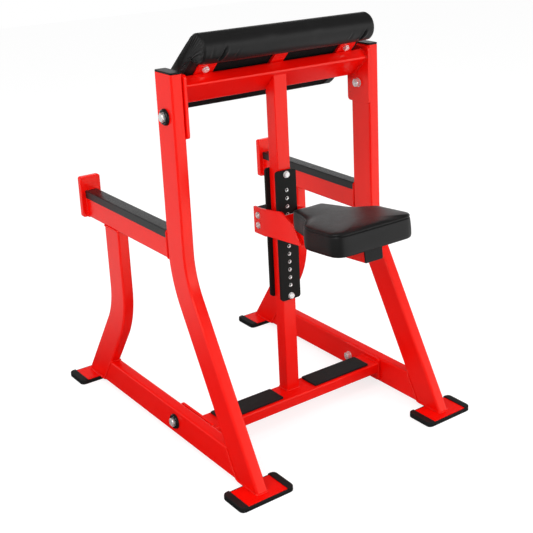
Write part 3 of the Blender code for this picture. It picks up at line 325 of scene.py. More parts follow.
def leg_y(centre, bend, lean, z):
    """Where a leg's centre line is at a height below its bend."""
    return centre + (bend - z) * tan(lean)


def leg_tube(name, node, x, centre, bend, lean, radius):
    """One bent tube in the place of its node; lean is signed, and positive leans it back."""
    low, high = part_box(node)
    foot = low.z - OVERSHOOT
    line = bent_line(x, (centre, high.z + OVERSHOOT), (centre, bend),
                     (leg_y(centre, bend, lean, foot), foot), radius)
    return flat_tube(name, node, line, TUBE_DEPTH,
                     saw_cut((x, centre, high.z), (0, 0, 1), (0, 0, 1)),
                     saw_cut((x, centre, low.z), (0, 0, -1), (0, tan(lean), -1)))


upright_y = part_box("front_upright_left")[1].y - TUBE_DEPTH / 2
rear_leg_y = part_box("rear_leg_left")[0].y + TUBE_DEPTH / 2
UPRIGHT_BEND = 0.543           # height at which the straight runs would meet
UPRIGHT_BEND_RADIUS = 0.30
REAR_LEG_BEND = 0.304
REAR_LEG_BEND_RADIUS = 0.25
UPRIGHT = (upright_y, UPRIGHT_BEND, UPRIGHT_LEAN)
REAR_LEG = (rear_leg_y, REAR_LEG_BEND, REAR_LEG_LEAN)
for label, side in sides.items():
    leg_tube("upright_tube_" + label, "front_upright_" + label, side * SIDE_X, *UPRIGHT,
             UPRIGHT_BEND_RADIUS)
    leg_tube("rear_leg_tube_" + label, "rear_leg_" + label, side * SIDE_X, *REAR_LEG,
             REAR_LEG_BEND_RADIUS)


# Base rails, rack arms and their stops
# Straight flat tubes set between the legs and welded all round, the rails with slanted saw cuts. A
# thick steel plate with rounded corners closes each arm and stands above it, to stop a bar.
slot_of = {entry["node"]: entry["material_slot"] for entry in frame["record"]["subparts"]}
body_of = {node: body for body, held in frame["record"]["behaviour"]["bodies"].items() for node in held}


def eased(node, finish, radius, segments=2):
    """A copy of a node's solid whose sharp edges are rounded, as filing and paint leave them."""
    mesh = frame["nodes"][node].data.copy()
    shape = bmesh.new()
    shape.from_mesh(mesh)
    bmesh.ops.remove_doubles(shape, verts=shape.verts, dist=0.00002)
    bmesh.ops.dissolve_limit(shape, angle_limit=radians(0.6), verts=shape.verts, edges=shape.edges)
    shape.to_mesh(mesh)
    shape.free()
    item = placed("copy", mesh)
    rounding = item.modifiers.new("rounding", "BEVEL")
    rounding.width = radius
    rounding.segments = segments
    rounding.limit_method = "ANGLE"
    rounding.angle_limit = radians(40)
    rounding.use_clamp_overlap = True
    return piece(node + "_dressed", plain(item), body_of[node], slot_of[node], finish, node)


RAIL_SINK = 0.001              # of a tube's end into the tube it is welded to
for label, side in sides.items():
    low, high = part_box("base_rail_" + label)
    middle = (low.z + high.z) / 2
    x = side * SIDE_X
    reach = TUBE_DEPTH / 2 - RAIL_SINK
    front_end = Vector((x, leg_y(*UPRIGHT, middle) + reach / cos(UPRIGHT_LEAN), middle))
    rear_end = Vector((x, leg_y(*REAR_LEG, middle) - reach / cos(REAR_LEG_LEAN), middle))
    flat_tube("base_rail_tube_" + label, "base_rail_" + label,
              [(x, front_end.y - OVERSHOOT, middle), (x, rear_end.y + OVERSHOOT, middle)],
              high.z - low.z,
              saw_cut(front_end, (0, -cos(UPRIGHT_LEAN), -sin(UPRIGHT_LEAN)), (0, -1, 0)),
              saw_cut(rear_end, (0, cos(REAR_LEG_LEAN), sin(REAR_LEG_LEAN)), (0, 1, 0)))
    low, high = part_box("rack_arm_" + label)
    middle = (low.z + high.z) / 2
    flat_tube("rack_arm_tube_" + label, "rack_arm_" + label,
              [(x, low.y - OVERSHOOT, middle), (x, high.y + OVERSHOOT, middle)],
              high.z - low.z,
              saw_cut((x, low.y - RAIL_SINK, middle), (0, -1, 0), (0, -1, 0)),
              saw_cut((x, high.y + RAIL_SINK, middle), (0, 1, 0), (0, 1, 0)))
    eased("rack_stop_" + label, red_coat, 0.0022, 3)


# Feet
# A steel plate under each leg, painted with the frame, in a moulded rubber shoe that laps over the
# plate's two ends and keeps it off the floor.
rubber = Finish("black_rubber", (0.011, 0.0114, 0.0114), (0.8, 1.25, 0.03, 4.0),
                (0.5, 0.68, 0.012, 3.0), specular=0.25)
shoe_rubber = rubber.relief((rubber.noise(0.0012, 3.0), 0.00008), edge=0.001)
for label in sides:
    for end in ("front", "rear"):
        eased(f"{end}_foot_plate_{label}", red_coat, 0.0012)
        eased(f"{end}_foot_shoe_{label}", shoe_rubber, 0.0009)


# Upright caps
# Moulded black plastic plugs with a thin flat head, pressed in the open tops of the two uprights
# once the frame is painted.
plastic = Finish("black_plastic", (0.0055, 0.0056, 0.0057), (0.85, 1.15, 0.02, 3.0),
                 (0.30, 0.42, 0.006, 3.0), specular=0.2)
moulded_plastic = plastic.relief((plastic.noise(0.0009, 2.0), 0.00004), edge=0.0008)
for label in sides:
    eased("upright_cap_" + label, moulded_plastic, 0.0008)


# Rack liners
# A U-shaped strip of hard black plastic clipped over each arm, with fine ribs across its top, so
# that a bar doesn't scrape the paint.
liner = Finish("ribbed_plastic", (0.007, 0.0072, 0.0074), (0.8, 1.2, 0.03, 3.0),
               (0.26, 0.34, 0.01, 3.0), specular=0.42)
RIB_PITCH = 0.0032
ribs = liner.add("ShaderNodeMath", {"operation": "SINE"}, {0: liner.along(1) * (2 * pi / RIB_PITCH)})
liner_plastic = liner.relief((ribs, 0.00010), (liner.noise(0.0008, 2.0), 0.00003), edge=0.0006)
for label in sides:
    eased("rack_liner_" + label, liner_plastic, 0.0005)


# Crossbeam, cross rail and their end plates
# Two flat tubes between the side frames, each welded to a thick plate at either end. The crossbeam
# lies on the slope of the arm pad and carries the three tongues that hold it.
for node in ("top_crossbeam", "bottom_cross_rail", "center_post"):
    eased(node, red_coat, 0.0007)
for label in sides:
    eased("top_end_plate_" + label, red_coat, 0.0009)
    eased("bottom_end_plate_" + label, red_coat, 0.0009)


# Weld beads
# Rippled fillets of weld metal, laid round the joints of the side frames, the two beams and the
# post once their tubes are clamped together, and painted with them.
bead = Shape("weld_bead", Radius="Float", Ripple="Float", Depth="Float", Spacing="Float")
along_bead = bead.add("GeometryNodeResampleCurve", {"mode": "LENGTH"},
                      {0: bead.size("Geometry"), "Length": bead.size("Spacing")})
travelled = bead.add("GeometryNodeSplineParameter").other("Length")
wave = bead.add("ShaderNodeMath", {"operation": "SINE"}, {0: travelled * (2 * pi) / bead.size("Ripple")})
ring = bead.add("GeometryNodeCurvePrimitiveCircle", {"mode": "RADIUS"},
                {"Resolution": 8, "Radius": bead.size("Radius")})
bead.close(bead.add("GeometryNodeCurveToMesh", {},
                    {0: along_bead, 1: ring, "Scale": wave * bead.size("Depth") + 1.0,
                     "Fill Caps": True}))
WELD_RADIUS = 0.0030
POST_CORNER = 0.003


def joint_line(centre, first, second, corner=TUBE_CORNER):
    """The rounded outline of a tube's end, from its middle and its two half widths."""
    centre, first, second = Vector(centre), Vector(first), Vector(second)
    points = []
    for quarter, (s, t) in enumerate(((1, 1), (-1, 1), (-1, -1), (1, -1))):
        middle = centre + first * (s * (1 - corner / first.length)) \
            + second * (t * (1 - corner / second.length))
        for step in range(5):
            angle = quarter * pi / 2 + step * pi / 8
            points.append(middle + first.normalized() * corner * cos(angle)
                          + second.normalized() * corner * sin(angle))
    return points


half_width, half_depth = TUBE_WIDTH / 2, TUBE_DEPTH / 2
weld_lines = []
PAD_CENTRE = Vector((0.0, -0.1095, 1.071))       # of the crossbeam, which carries the pad
PAD_SLOPE = radians(43.5)
for label, side in sides.items():
    x = side * SIDE_X
    wide = (half_width, 0, 0)
    for node, leg in (("front_upright_", UPRIGHT), ("rear_leg_", REAR_LEG)):
        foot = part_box(node + label)[0].z
        weld_lines.append(joint_line((x, leg_y(*leg, foot), foot), wide,
                                     (0, half_depth / cos(leg[2]), 0)))
    low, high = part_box("rack_arm_" + label)
    middle = (low.z + high.z) / 2
    upward_half = (0, 0, (high.z - low.z) / 2)
    weld_lines.append(joint_line((x, low.y, middle), wide, upward_half))
    weld_lines.append(joint_line((x, high.y, middle), wide, upward_half))
    weld_lines.append(joint_line((x, rear_leg_y, low.z), wide, (0, half_depth, 0)))
    low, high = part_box("base_rail_" + label)
    middle = (low.z + high.z) / 2
    for leg, way in ((UPRIGHT, 1), (REAR_LEG, -1)):
        y = leg_y(*leg, middle) + way * half_depth / cos(leg[2])
        slant = Vector((0, -tan(leg[2]), 1)) * (high.z - low.z) / 2
        weld_lines.append(joint_line((x, y, middle), wide, slant))
    low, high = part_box("top_crossbeam")
    weld_lines.append(joint_line((side * high.x, PAD_CENTRE.y, PAD_CENTRE.z),
                                 (0, half_depth * cos(PAD_SLOPE), -half_depth * sin(PAD_SLOPE)),
                                 (0, half_width * sin(PAD_SLOPE), half_width * cos(PAD_SLOPE))))
    low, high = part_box("bottom_cross_rail")
    weld_lines.append(joint_line((side * high.x, (low.y + high.y) / 2, (low.z + high.z) / 2),
                                 (0, half_depth, 0), (0, 0, half_width)))
low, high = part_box("center_post")
post_half = (high.x - low.x) / 2
weld_lines.append(joint_line((0, (low.y + high.y) / 2, low.z), (post_half, 0, 0), (0, post_half, 0),
                             POST_CORNER))
piece("weld_beads",
      bead.run(poly_lines(weld_lines, closed=True), Radius=WELD_RADIUS, Ripple=0.0042, Depth=0.10,
               Spacing=0.0014, Finish=red_coat),
      "frame", "frame_paint", red_coat, crease=80)


# Foot treads
# Two flat mats cut from dull black rubber sheet and glued on the cross rail, one on either side of
# the post, so that shoes grip.
for label in sides:
    eased("foot_tread_" + label, shoe_rubber, 0.0012)


# Guide plates
# Two long steel plates with a matt black coating, bolted on the front and back of the post. The
# front one has a row of holes for the pull pin, each lined with a bright pressed-in bush.
coating = Finish("black_coating", (0.011, 0.0118, 0.0112), (0.82, 1.2, 0.04, 4.0),
                 (0.48, 0.62, 0.009, 3.0), specular=0.10)
matt_coating = coating.relief((coating.noise(0.0011, 3.0), 0.00010), edge=0.0008)
eased("front_guide_plate", matt_coating, 0.0006)
eased("rear_guide_plate", matt_coating, 0.0006)

zinc = Finish("bright_zinc", (0.90, 0.90, 0.89), (0.86, 1.08, 0.004, 4.0),
              (0.22, 0.34, 0.002, 3.0), metallic=0.6)
bright_zinc = zinc.relief((zinc.noise(0.0009, 2.0), 0.00003), edge=0.0004)


def turned(profile, steps):
    """A closed profile of (radius, height) points turned about z."""
    mesh = bpy.data.meshes.new("profile")
    count = len(profile)
    edges = [(index, (index + 1) % count) for index in range(count)]
    mesh.from_pydata([(radius, 0.0, height) for radius, height in profile], edges, [])
    shape = bmesh.new()
    shape.from_mesh(mesh)
    bmesh.ops.spin(shape, geom=shape.verts[:] + shape.edges[:], cent=(0, 0, 0), axis=(0, 0, 1),
                   angle=2 * pi, steps=steps, use_merge=True)
    bmesh.ops.remove_doubles(shape, verts=shape.verts, dist=0.00001)
    bmesh.ops.recalc_face_normals(shape, faces=shape.faces)
    shape.to_mesh(mesh)
    shape.free()
    return mesh


stamp = Shape("row_of_pieces", Pitch="Float", Count="Int", Start="Vector", Way="Vector")
run = stamp.add("ShaderNodeVectorMath", {"operation": "SCALE"},
                {0: stamp.size("Way"), "Scale": stamp.size("Pitch")})
row = stamp.add("GeometryNodeMeshLine", {"mode": "OFFSET"},
                {"Count": stamp.size("Count"), "Start Location": stamp.size("Start"), "Offset": run})
stamp.close(stamp.add("GeometryNodeInstanceOnPoints", {},
                      {0: row, "Instance": stamp.size("Geometry")}))


TO_FRONT = Matrix.Rotation(pi / 2, 4, "X")       # turns a piece's axis from +Z to -Y
PIN_HOLE_START = 0.435
PIN_HOLE_PITCH = 0.025
PIN_HOLES = 13
guide_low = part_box("front_guide_plate")[0]
bush = turned([(0.0031, -0.0030), (0.0033, -0.0022), (0.0047, -0.0006), (0.0052, 0.0001),
               (0.0058, 0.0001), (0.0058, -0.0029)], 24)
bush.transform(TO_FRONT)
piece("pin_hole_bushes",
      stamp.run(placed("bush", bush), Pitch=PIN_HOLE_PITCH, Count=PIN_HOLES,
                Start=(0.0, guide_low.y, PIN_HOLE_START), Way=(0.0, 0.0, 1.0), Finish=bright_zinc),
      "frame", "bright_zinc", bright_zinc)


# Frame bolts
# Four thick bolts hold the crossbeam and the cross rail between the side frames. Each head sits in
# a black plastic cup washer outside, and a nut closes it on the end plate inside.
def ringed(rows, steps=48):
    """A closed solid through rings (radius, z, sides); a ring with six sides is measured flat to axis."""
    mesh = bpy.data.meshes.new("ringed")
    shape = bmesh.new()
    rings = []
    for radius, z, sides_of_ring in rows:
        ring = []
        for step in range(steps):
            angle = 2 * pi * step / steps
            reach = radius
            if sides_of_ring == 6:
                reach = radius / cos((angle + pi / 6) % (pi / 3) - pi / 6)
            ring.append(shape.verts.new((reach * cos(angle), reach * sin(angle), z)))
        rings.append(ring)
    for lower, upper in zip(rings, rings[1:]):
        for step in range(steps):
            after = (step + 1) % steps
            shape.faces.new((lower[step], lower[after], upper[after], upper[step]))
    shape.faces.new(rings[-1])
    shape.faces.new(rings[0][::-1])
    shape.to_mesh(mesh)
    shape.free()
    return mesh


def hex_head(across, height, crown):
    """A six-sided head or nut above z = 0, whose upper corners are turned off down to the crown."""
    flat = across / 2 * cos(radians(30))
    turned_off = (across / 2 - crown) * tan(radians(30))
    return ringed([(flat, 0.0, 6), (flat, height - turned_off, 6), (crown, height, 0)])


THREAD_DEPTH = 0.36            # of its pitch


def threaded_end(radius, length, pitch):
    """The end of a bolt that stands out of its nut, above z = 0."""
    profile = [(0.0, 0.0), (radius, 0.0)]
    z = 0.0
    while z + pitch < length - 0.0006:
        profile += [(radius - THREAD_DEPTH * pitch, z + pitch * 0.5), (radius, z + pitch)]
        z += pitch
    profile += [(radius - 0.0012, length), (0.0, length)]
    return turned(profile, 32)


def gathered(*parts):
    """Several meshes as one, each moved by its own matrix first."""
    shape = bmesh.new()
    for mesh, place in parts:
        mesh = mesh.copy()
        mesh.transform(place)
        shape.from_mesh(mesh)
        bpy.data.meshes.remove(mesh)
    whole = bpy.data.meshes.new("gathered")
    shape.to_mesh(whole)
    shape.free()
    return whole


def at(x=0.0, y=0.0, z=0.0):
    return Matrix.Translation((x, y, z))


cup_plastic = Finish("gloss_black_plastic", (0.010, 0.0105, 0.011), (0.9, 1.15, 0.02, 2.0),
                     (0.14, 0.26, 0.006, 2.0), specular=0.3)
glossy_plastic = cup_plastic.relief((cup_plastic.noise(0.0015, 2.0), 0.00003), edge=0.0005)

BOLT_HEAD = 0.0277             # across its corners
BOLT_RADIUS = 0.008
CUP_RADIUS = 0.0235
CUP_FLOOR = 0.0025
CUP_RIM = 0.0085
cup = turned([(0.0160, CUP_RIM - 0.0004), (0.0172, CUP_RIM), (0.0192, CUP_RIM - 0.0002),
              (0.0213, CUP_RIM - 0.0014), (0.0226, CUP_RIM - 0.0036), (0.0233, 0.0030),
              (CUP_RADIUS, 0.0), (0.0085, 0.0), (0.0085, CUP_FLOOR), (0.0148, CUP_FLOOR),
              (0.0154, CUP_FLOOR + 0.0006), (0.0156, CUP_RIM - 0.0014)], 48)
head = gathered((turned([(0.0, 0.0), (0.0143, 0.0), (0.0145, 0.0006), (0.0140, 0.0018), (0.0, 0.0018)], 40),
                 at()),
                (hex_head(BOLT_HEAD, height=0.0112, crown=0.0108), at(z=0.0012)))
nut = gathered((turned([(0.0085, 0.0), (0.0142, 0.0), (0.0144, 0.0008), (0.0138, 0.0016), (0.0085, 0.0016)],
                       40), at()),
               (hex_head(BOLT_HEAD, height=0.0120, crown=0.0112), at(z=0.0010)),
               (threaded_end(BOLT_RADIUS - 0.0004, length=0.0036, pitch=0.0016), at(z=0.0126)))
BOLT_PLACES = {"top": (PAD_CENTRE.y, 1.006), "bottom": (-0.0305, 0.056)}       # as (y, z)
CUP_GAP = 0.0003
outer_face = SIDE_X + half_width + CUP_GAP
for label, side in sides.items():
    for level, (y, z) in BOLT_PLACES.items():
        outward = at(side * outer_face, y, z) @ Matrix.Rotation(side * pi / 2, 4, "Y")
        inner_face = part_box(f"{level}_end_plate_{label}")[0 if side > 0 else 1].x
        inward = at(inner_face, y, z) @ Matrix.Rotation(-side * pi / 2, 4, "Y")
        # No two heads come to rest at the same angle
        spin = Matrix.Rotation(radians(17 + 40 * (level == "top") + 11 * side), 4, "Z")
        node = f"frame_bolt_{level}_{label}"
        piece(node + "_steel", gathered((head, outward @ at(z=CUP_FLOOR) @ spin), (nut, inward @ spin)),
              "frame", "bright_zinc", bright_zinc, node, crease=28)
        piece(f"cup_washer_{level}_{label}", gathered((cup, outward)), "frame", "black_plastic",
              glossy_plastic, node, crease=50)


# Guide plate bolts and pad bolts
# Small zinc-plated hex bolts: two through both guide plates and the post, with nuts behind, and two
# up through the outer tongues into the arm pad's board.
SMALL_HEAD = 0.019
SMALL_RADIUS = 0.0047
small_head = gathered((turned([(0.0, 0.0), (0.0101, 0.0), (0.0102, 0.0005), (0.0098, 0.0011), (0.0, 0.0011)],
                              36), at()),
                      (hex_head(SMALL_HEAD, height=0.0062, crown=0.0076), at(z=0.0008)))
small_nut = gathered((turned([(0.004, 0.0), (0.0098, 0.0), (0.0099, 0.0006), (0.0095, 0.0011),
                              (0.004, 0.0011)], 36), at()),
                     (hex_head(SMALL_HEAD, height=0.0076, crown=0.0080), at(z=0.0008)),
                     (threaded_end(SMALL_RADIUS, length=0.0030, pitch=0.0012), at(z=0.0084)))
TO_REAR = Matrix.Rotation(-pi / 2, 4, "X")
rear_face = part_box("rear_guide_plate")[1].y
for label, spin in (("lower", 23), ("upper", 8)):
    node = "guide_bolt_" + label
    low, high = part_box(node)
    middle = (low.z + high.z) / 2
    turn = Matrix.Rotation(radians(spin), 4, "Z")
    piece(node + "_steel",
          gathered((small_head, at(y=guide_low.y, z=middle) @ TO_FRONT @ turn),
                   (small_nut, at(y=rear_face, z=middle) @ TO_REAR @ turn)),
          "frame", "bright_zinc", bright_zinc, node, crease=28)
PAD_BOLT_U = -0.062            # up the slope from the crossbeam's centre line
TONGUE_FACE = 0.0170           # above that line, square to the slope
on_tongue = Matrix.Rotation(-PAD_SLOPE, 4, "X") @ at(y=PAD_BOLT_U, z=TONGUE_FACE)
for label, spin in (("left", 14), ("right", 40)):
    low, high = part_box("pad_bolt_" + label)
    place = at((low.x + high.x) / 2, PAD_CENTRE.y, PAD_CENTRE.z) @ on_tongue
    under = Matrix.Rotation(pi, 4, "X") @ Matrix.Rotation(radians(spin), 4, "Z")
    piece(f"pad_bolt_{label}_steel", gathered((small_head, place @ under)), "frame", "bright_zinc",
          bright_zinc, "pad_bolt_" + label, crease=28)


# Seat carriage
# Folded and welded steel plates round the guide plates, painted red, with a black slider block
# between the tabs, nylon slide pads, and two barrel bolts with domed heads through the tabs.
for label in sides:
    eased("carriage_side_" + label, red_coat, 0.0008)
eased("carriage_front_plate", red_coat, 0.0008)
eased("carriage_cross_plate", red_coat, 0.0006)
eased("rear_slider_block", matt_coating, 0.0006)
nylon = Finish("grey_nylon", (0.42, 0.42, 0.40), (0.92, 1.05, 0.015, 3.0), (0.42, 0.56, 0.004, 3.0))
slide_nylon = nylon.relief((nylon.noise(0.0008, 2.0), 0.00004), edge=0.0004)
eased("front_slide_pad", slide_nylon, 0.0003)
eased("rear_slide_pad", slide_nylon, 0.0003)
button = ringed([(0.0031, 0.0030, 6), (0.0032, 0.0052, 6), (0.0036, 0.0057, 6), (0.0052, 0.0060, 0),
                 (0.0070, 0.0056, 0), (0.0089, 0.0043, 0), (0.0102, 0.0024, 0), (0.0107, 0.0006, 0),
                 (0.0105, 0.0, 0)][::-1])
TAB_FACE = 0.0371              # outside of the tabs, from the middle
for label in ("lower", "upper"):
    low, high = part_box("tab_bolt_" + label)
    heads = [(button, at(side * TAB_FACE, (low.y + high.y) / 2, (low.z + high.z) / 2)
              @ Matrix.Rotation(side * pi / 2, 4, "Y")) for side in (-1, 1)]
    piece(f"tab_bolt_{label}_steel", gathered(*heads), "seat_carriage", "bright_zinc", bright_zinc,
          "tab_bolt_" + label, crease=40)


# Seat support
# A short flat tube welded through the carriage's front plate, which carries the seat's board, with
# a moulded plastic plug pressed in its open end.
eased("seat_support_tube", red_coat, 0.0007)
eased("seat_tube_cap", moulded_plastic, 0.0007)


# Arm pad
# A plywood board covered in thin black cloth, and on it moulded foam in black vinyl, with a fat
# roll along its upper edge, drawn tight and stapled round the board.
cover = Finish("board_cloth", (0.008, 0.008, 0.0082), (0.75, 1.3, 0.02, 4.0),
               (0.72, 0.9, 0.01, 3.0), specular=0.1)
THREAD_PITCH = 0.0011
warp, weft = (cover.add("ShaderNodeMath", {"operation": "SINE"},
                        {0: cover.along(axis) * (2 * pi / THREAD_PITCH)}) for axis in (0, 1))
board_cloth = cover.relief((warp * weft, 0.00010), edge=0.001)
board = eased("arm_pad_board", board_cloth, 0.0010)
BOARD_HALF = 0.2605            # half the board's length; past it the pad's cover laps under
SOLID_BOARD_HALF = 0.2915
for vertex in board.data.vertices:
    side = 1 if vertex.co.x > 0 else -1
    if abs(vertex.co.x) > BOARD_HALF:
        vertex.co.x -= side * (SOLID_BOARD_HALF - BOARD_HALF)

vinyl = Finish("black_vinyl", (0.0105, 0.0104, 0.0104), (0.85, 1.2, 0.06, 4.0),
               (0.32, 0.42, 0.022, 4.0), specular=0.2)
black_vinyl = vinyl.relief((vinyl.cells(0.0014), 0.00010), (vinyl.noise(0.0006, 2.0), 0.00004))


def closed_skin(rings, ends_filled=True):
    """A closed skin through rings of equally many points, which joins points that coincide."""
    shape = bmesh.new()
    rows = [[shape.verts.new(point) for point in ring] for ring in rings]
    count = len(rows[0])
    for first, second in zip(rows, rows[1:]):
        for index in range(count):
            after = (index + 1) % count
            shape.faces.new((first[index], first[after], second[after], second[index]))
    if ends_filled:
        shape.faces.new(rows[0])
        shape.faces.new(rows[-1][::-1])
    bmesh.ops.remove_doubles(shape, verts=shape.verts, dist=0.00001)
    bmesh.ops.recalc_face_normals(shape, faces=shape.faces)
    mesh = bpy.data.meshes.new("skin")
    shape.to_mesh(mesh)
    shape.free()
    return mesh


SWELL = 0.0015                 # most that the foam lifts the cover
SWELL_PRESSURE = 4.0
SWELL_FRAMES = 20
SMOOTHING_ROUNDS = 8


def clamped(value):
    return min(1.0, max(0.0, value))


def stuffed(mesh, free):
    """Blows the cover up over its foam by cloth simulation; free(point) is 0 where it is held."""
    start = [vertex.co.copy() for vertex in mesh.vertices]
    normals = [vertex.normal.copy() for vertex in mesh.vertices]
    for vertex, place, normal in zip(mesh.vertices, start, normals):
        vertex.co = place - normal * (SWELL * free(place))
    item = placed("cover", mesh)
    cloth = item.modifiers.new("cover", "CLOTH")
    cloth.settings.use_pressure = True
    cloth.settings.uniform_pressure_force = SWELL_PRESSURE
    cloth.settings.effector_weights.gravity = 0.0
    held = item.vertex_groups.new(name="held")
    for index, place in enumerate(start):
        if free(place) < 1.0:
            held.add([index], 1.0 - free(place), "REPLACE")
    cloth.settings.vertex_group_mass = "held"
    for number in range(1, SWELL_FRAMES + 1):
        bpy.context.scene.frame_set(number)
    blown = plain(item)
    bpy.context.scene.frame_set(1)
    swell = [max(-SWELL, min(SWELL, (vertex.co - place).dot(normal))) * free(place)
             for vertex, place, normal in zip(blown.vertices, start, normals)]
    near = [[] for _ in start]
    for edge in mesh.edges:
        first, second = edge.vertices
        near[first].append(second)
        near[second].append(first)
    for _ in range(SMOOTHING_ROUNDS):
        swell = [0.5 * value + 0.5 * sum(swell[other] for other in around) / len(around)
                 for value, around in zip(swell, near)]
    for vertex, place, normal, value in zip(mesh.vertices, start, normals, swell):
        vertex.co = place + normal * value
    item = placed("foam", mesh)
    subdivision = item.modifiers.new("fine", "SUBSURF")
    subdivision.levels = 1
    subdivision.render_levels = 1
    return plain(item)


def cushion(name, node, mesh):
    """A padded piece, with no sharp edge anywhere."""
    item = piece(name, mesh, body_of[node], "black_vinyl", black_vinyl, node, crease=180)
    item.modifiers.clear()
    return item


slope_down = Vector((0.0, cos(PAD_SLOPE), -sin(PAD_SLOPE)))
slope_up = Vector((0.0, sin(PAD_SLOPE), cos(PAD_SLOPE)))
PAD_TOP = 0.0783              # above the crossbeam's centre line, square to the slope
PAD_BOTTOM = 0.0246
PAD_CROWN = 0.002
LOW_END = 0.149               # down the slope from the crossbeam's centre line
ROLL_U = -0.140
ROLL_N = 0.0336
ROLL_RADIUS = 0.043
BOARD_POCKET = 0.0183
# Of the rounded ends: where they end, how long they are and how far the section draws in there
SLAB_END = (0.303, 0.009, 0.008)
ROLL_END = (0.291, 0.009, 0.008)
ROLL_SHIFT = -0.005           # of the roll to the left, as the photograph's outline shows
ROLL_BLEND = 0.045            # from the roll's crest down to the flat of the pad
DRAW_IN_FROM = 0.10           # down the slope, where the ends start to draw in towards the roll
DRAW_IN_LENGTH = 0.26
SAG = 0.0035                  # of the cover that is wrapped under the ends of the board
EDGE_RUN = 0.024              # from the end of the flat top to the low edge
EDGE_DROP = 0.018             # from the flat top to where the low edge stands square
EDGE_RADIUS = 0.016
RIM_LAP = 0.0072              # of the cover under the low edge, as far as the board


def spread(start, end, steps):
    """Even steps from one value to just before another."""
    return [start + (end - start) * step / steps for step in range(steps)]


def pad_section(inset, pocket, sag=0.0):
    """The pad's side view as (down the slope, square to it): a slab with a roll along its top."""
    radius = ROLL_RADIUS - inset
    bottom = PAD_BOTTOM + inset
    top = PAD_TOP - inset
    low_end = LOW_END - inset
    join = asin((PAD_BOTTOM - ROLL_N) / ROLL_RADIUS)
    points = [(ROLL_U + radius * cos(angle), ROLL_N + radius * sin(angle))
              for angle in spread(join, -1.5 * pi, 36)]
    roll_top = ROLL_N + radius
    flat_from = ROLL_U + ROLL_BLEND
    for u in spread(ROLL_U, flat_from, 7):
        share = (u - ROLL_U) / ROLL_BLEND
        points.append((u, roll_top + (top - roll_top) * share * share * (3 - 2 * share)))
    flat_to = low_end - EDGE_RUN
    for u in spread(flat_from, flat_to, 34):
        points.append((u, top + PAD_CROWN * sin(pi * (u - flat_from) / (flat_to - flat_from))))
    edge_top = top - EDGE_DROP
    points += [(low_end - EDGE_RADIUS + EDGE_RADIUS * cos(angle), edge_top + EDGE_RADIUS * sin(angle))
               for angle in spread(radians(75), 0.0, 6)]
    points += [(low_end, n) for n in spread(edge_top, bottom + 0.008, 5)]
    rim = low_end - RIM_LAP
    points += [(low_end - 0.0005, bottom + 0.004), (low_end - 0.0035, bottom), (rim, bottom)]
    points += [(rim - 0.0003, bottom + 0.5 * pocket), (rim - 0.0005, bottom + pocket)]
    wall = ROLL_U + radius * cos(join) + 0.0032
    points += [(u, bottom + pocket - sag * min(1.0, 0.012 * (step + 1) * (34 - step)))
               for step, u in enumerate(spread(rim - 0.006, wall + 0.003, 34))]
    points += [(wall, bottom + pocket), (wall - 0.0002, bottom + 0.5 * pocket), (wall - 0.0004, bottom)]
    return points


def roll_share(u):
    """How far the ends have drawn in on their way from the pad's low edge to the roll."""
    return clamped((DRAW_IN_FROM - u) / DRAW_IN_LENGTH)


def pad_ring(side, turn, along_slab=None, shrink=0.0):
    """One ring round the pad: at an angle of its rounded end, or at a place between the ends."""
    on_board = along_slab is not None and abs(along_slab) < BOARD_HALF + 0.0008
    pocket, sag = (BOARD_POCKET, 0.0) if on_board else (0.0, SAG * sin(turn))
    base = pad_section(0.0, pocket, sag)
    slab = pad_section(SLAB_END[2] * (1 - sin(turn)), pocket, sag)
    roll = pad_section(ROLL_END[2] * (1 - sin(turn)), pocket, sag)
    ring = []
    for (place, _), (slab_u, slab_n), (roll_u, roll_n) in zip(base, slab, roll):
        share = roll_share(place)
        u = slab_u + (roll_u - slab_u) * share
        n = slab_n + (roll_n - slab_n) * share
        end, length = (low + (high - low) * share for low, high in zip(SLAB_END[:2], ROLL_END[:2]))
        x = side * (end - length * (1 - cos(turn)))
        if along_slab is not None:
            x = along_slab * (end - length) / STRAIGHT
        x += ROLL_SHIFT * share
        core = min(max(u, ROLL_U), LOW_END - 0.03)
        u += (core - u) * shrink
        n += (0.5 * (PAD_TOP + PAD_BOTTOM) - n) * shrink
        ring.append(PAD_CENTRE + slope_down * u + slope_up * n + Vector((x, 0, 0)))
    return ring


STRAIGHT = SLAB_END[0] - SLAB_END[1]
turns = spread(0.0, pi / 2, 9)
rings = [pad_ring(1, 0.0, shrink=0.45)]
rings += [pad_ring(1, turn) for turn in turns]
rings += [pad_ring(1, pi / 2, x) for x in spread(STRAIGHT, -STRAIGHT, 124) + [-STRAIGHT]]
rings += [pad_ring(-1, turn) for turn in turns[::-1]]
rings.append(pad_ring(-1, 0.0, shrink=0.45))


def pad_free(point):
    """Held where the cover wraps round the board's edge and under it, free above and on the roll."""
    away = point - PAD_CENTRE
    if away.dot(slope_down) <= ROLL_U + 0.030:
        return 1.0
    return clamped((away.dot(slope_up) - PAD_BOTTOM - 0.004) / 0.014)


pad_mesh = stuffed(closed_skin(rings), pad_free)

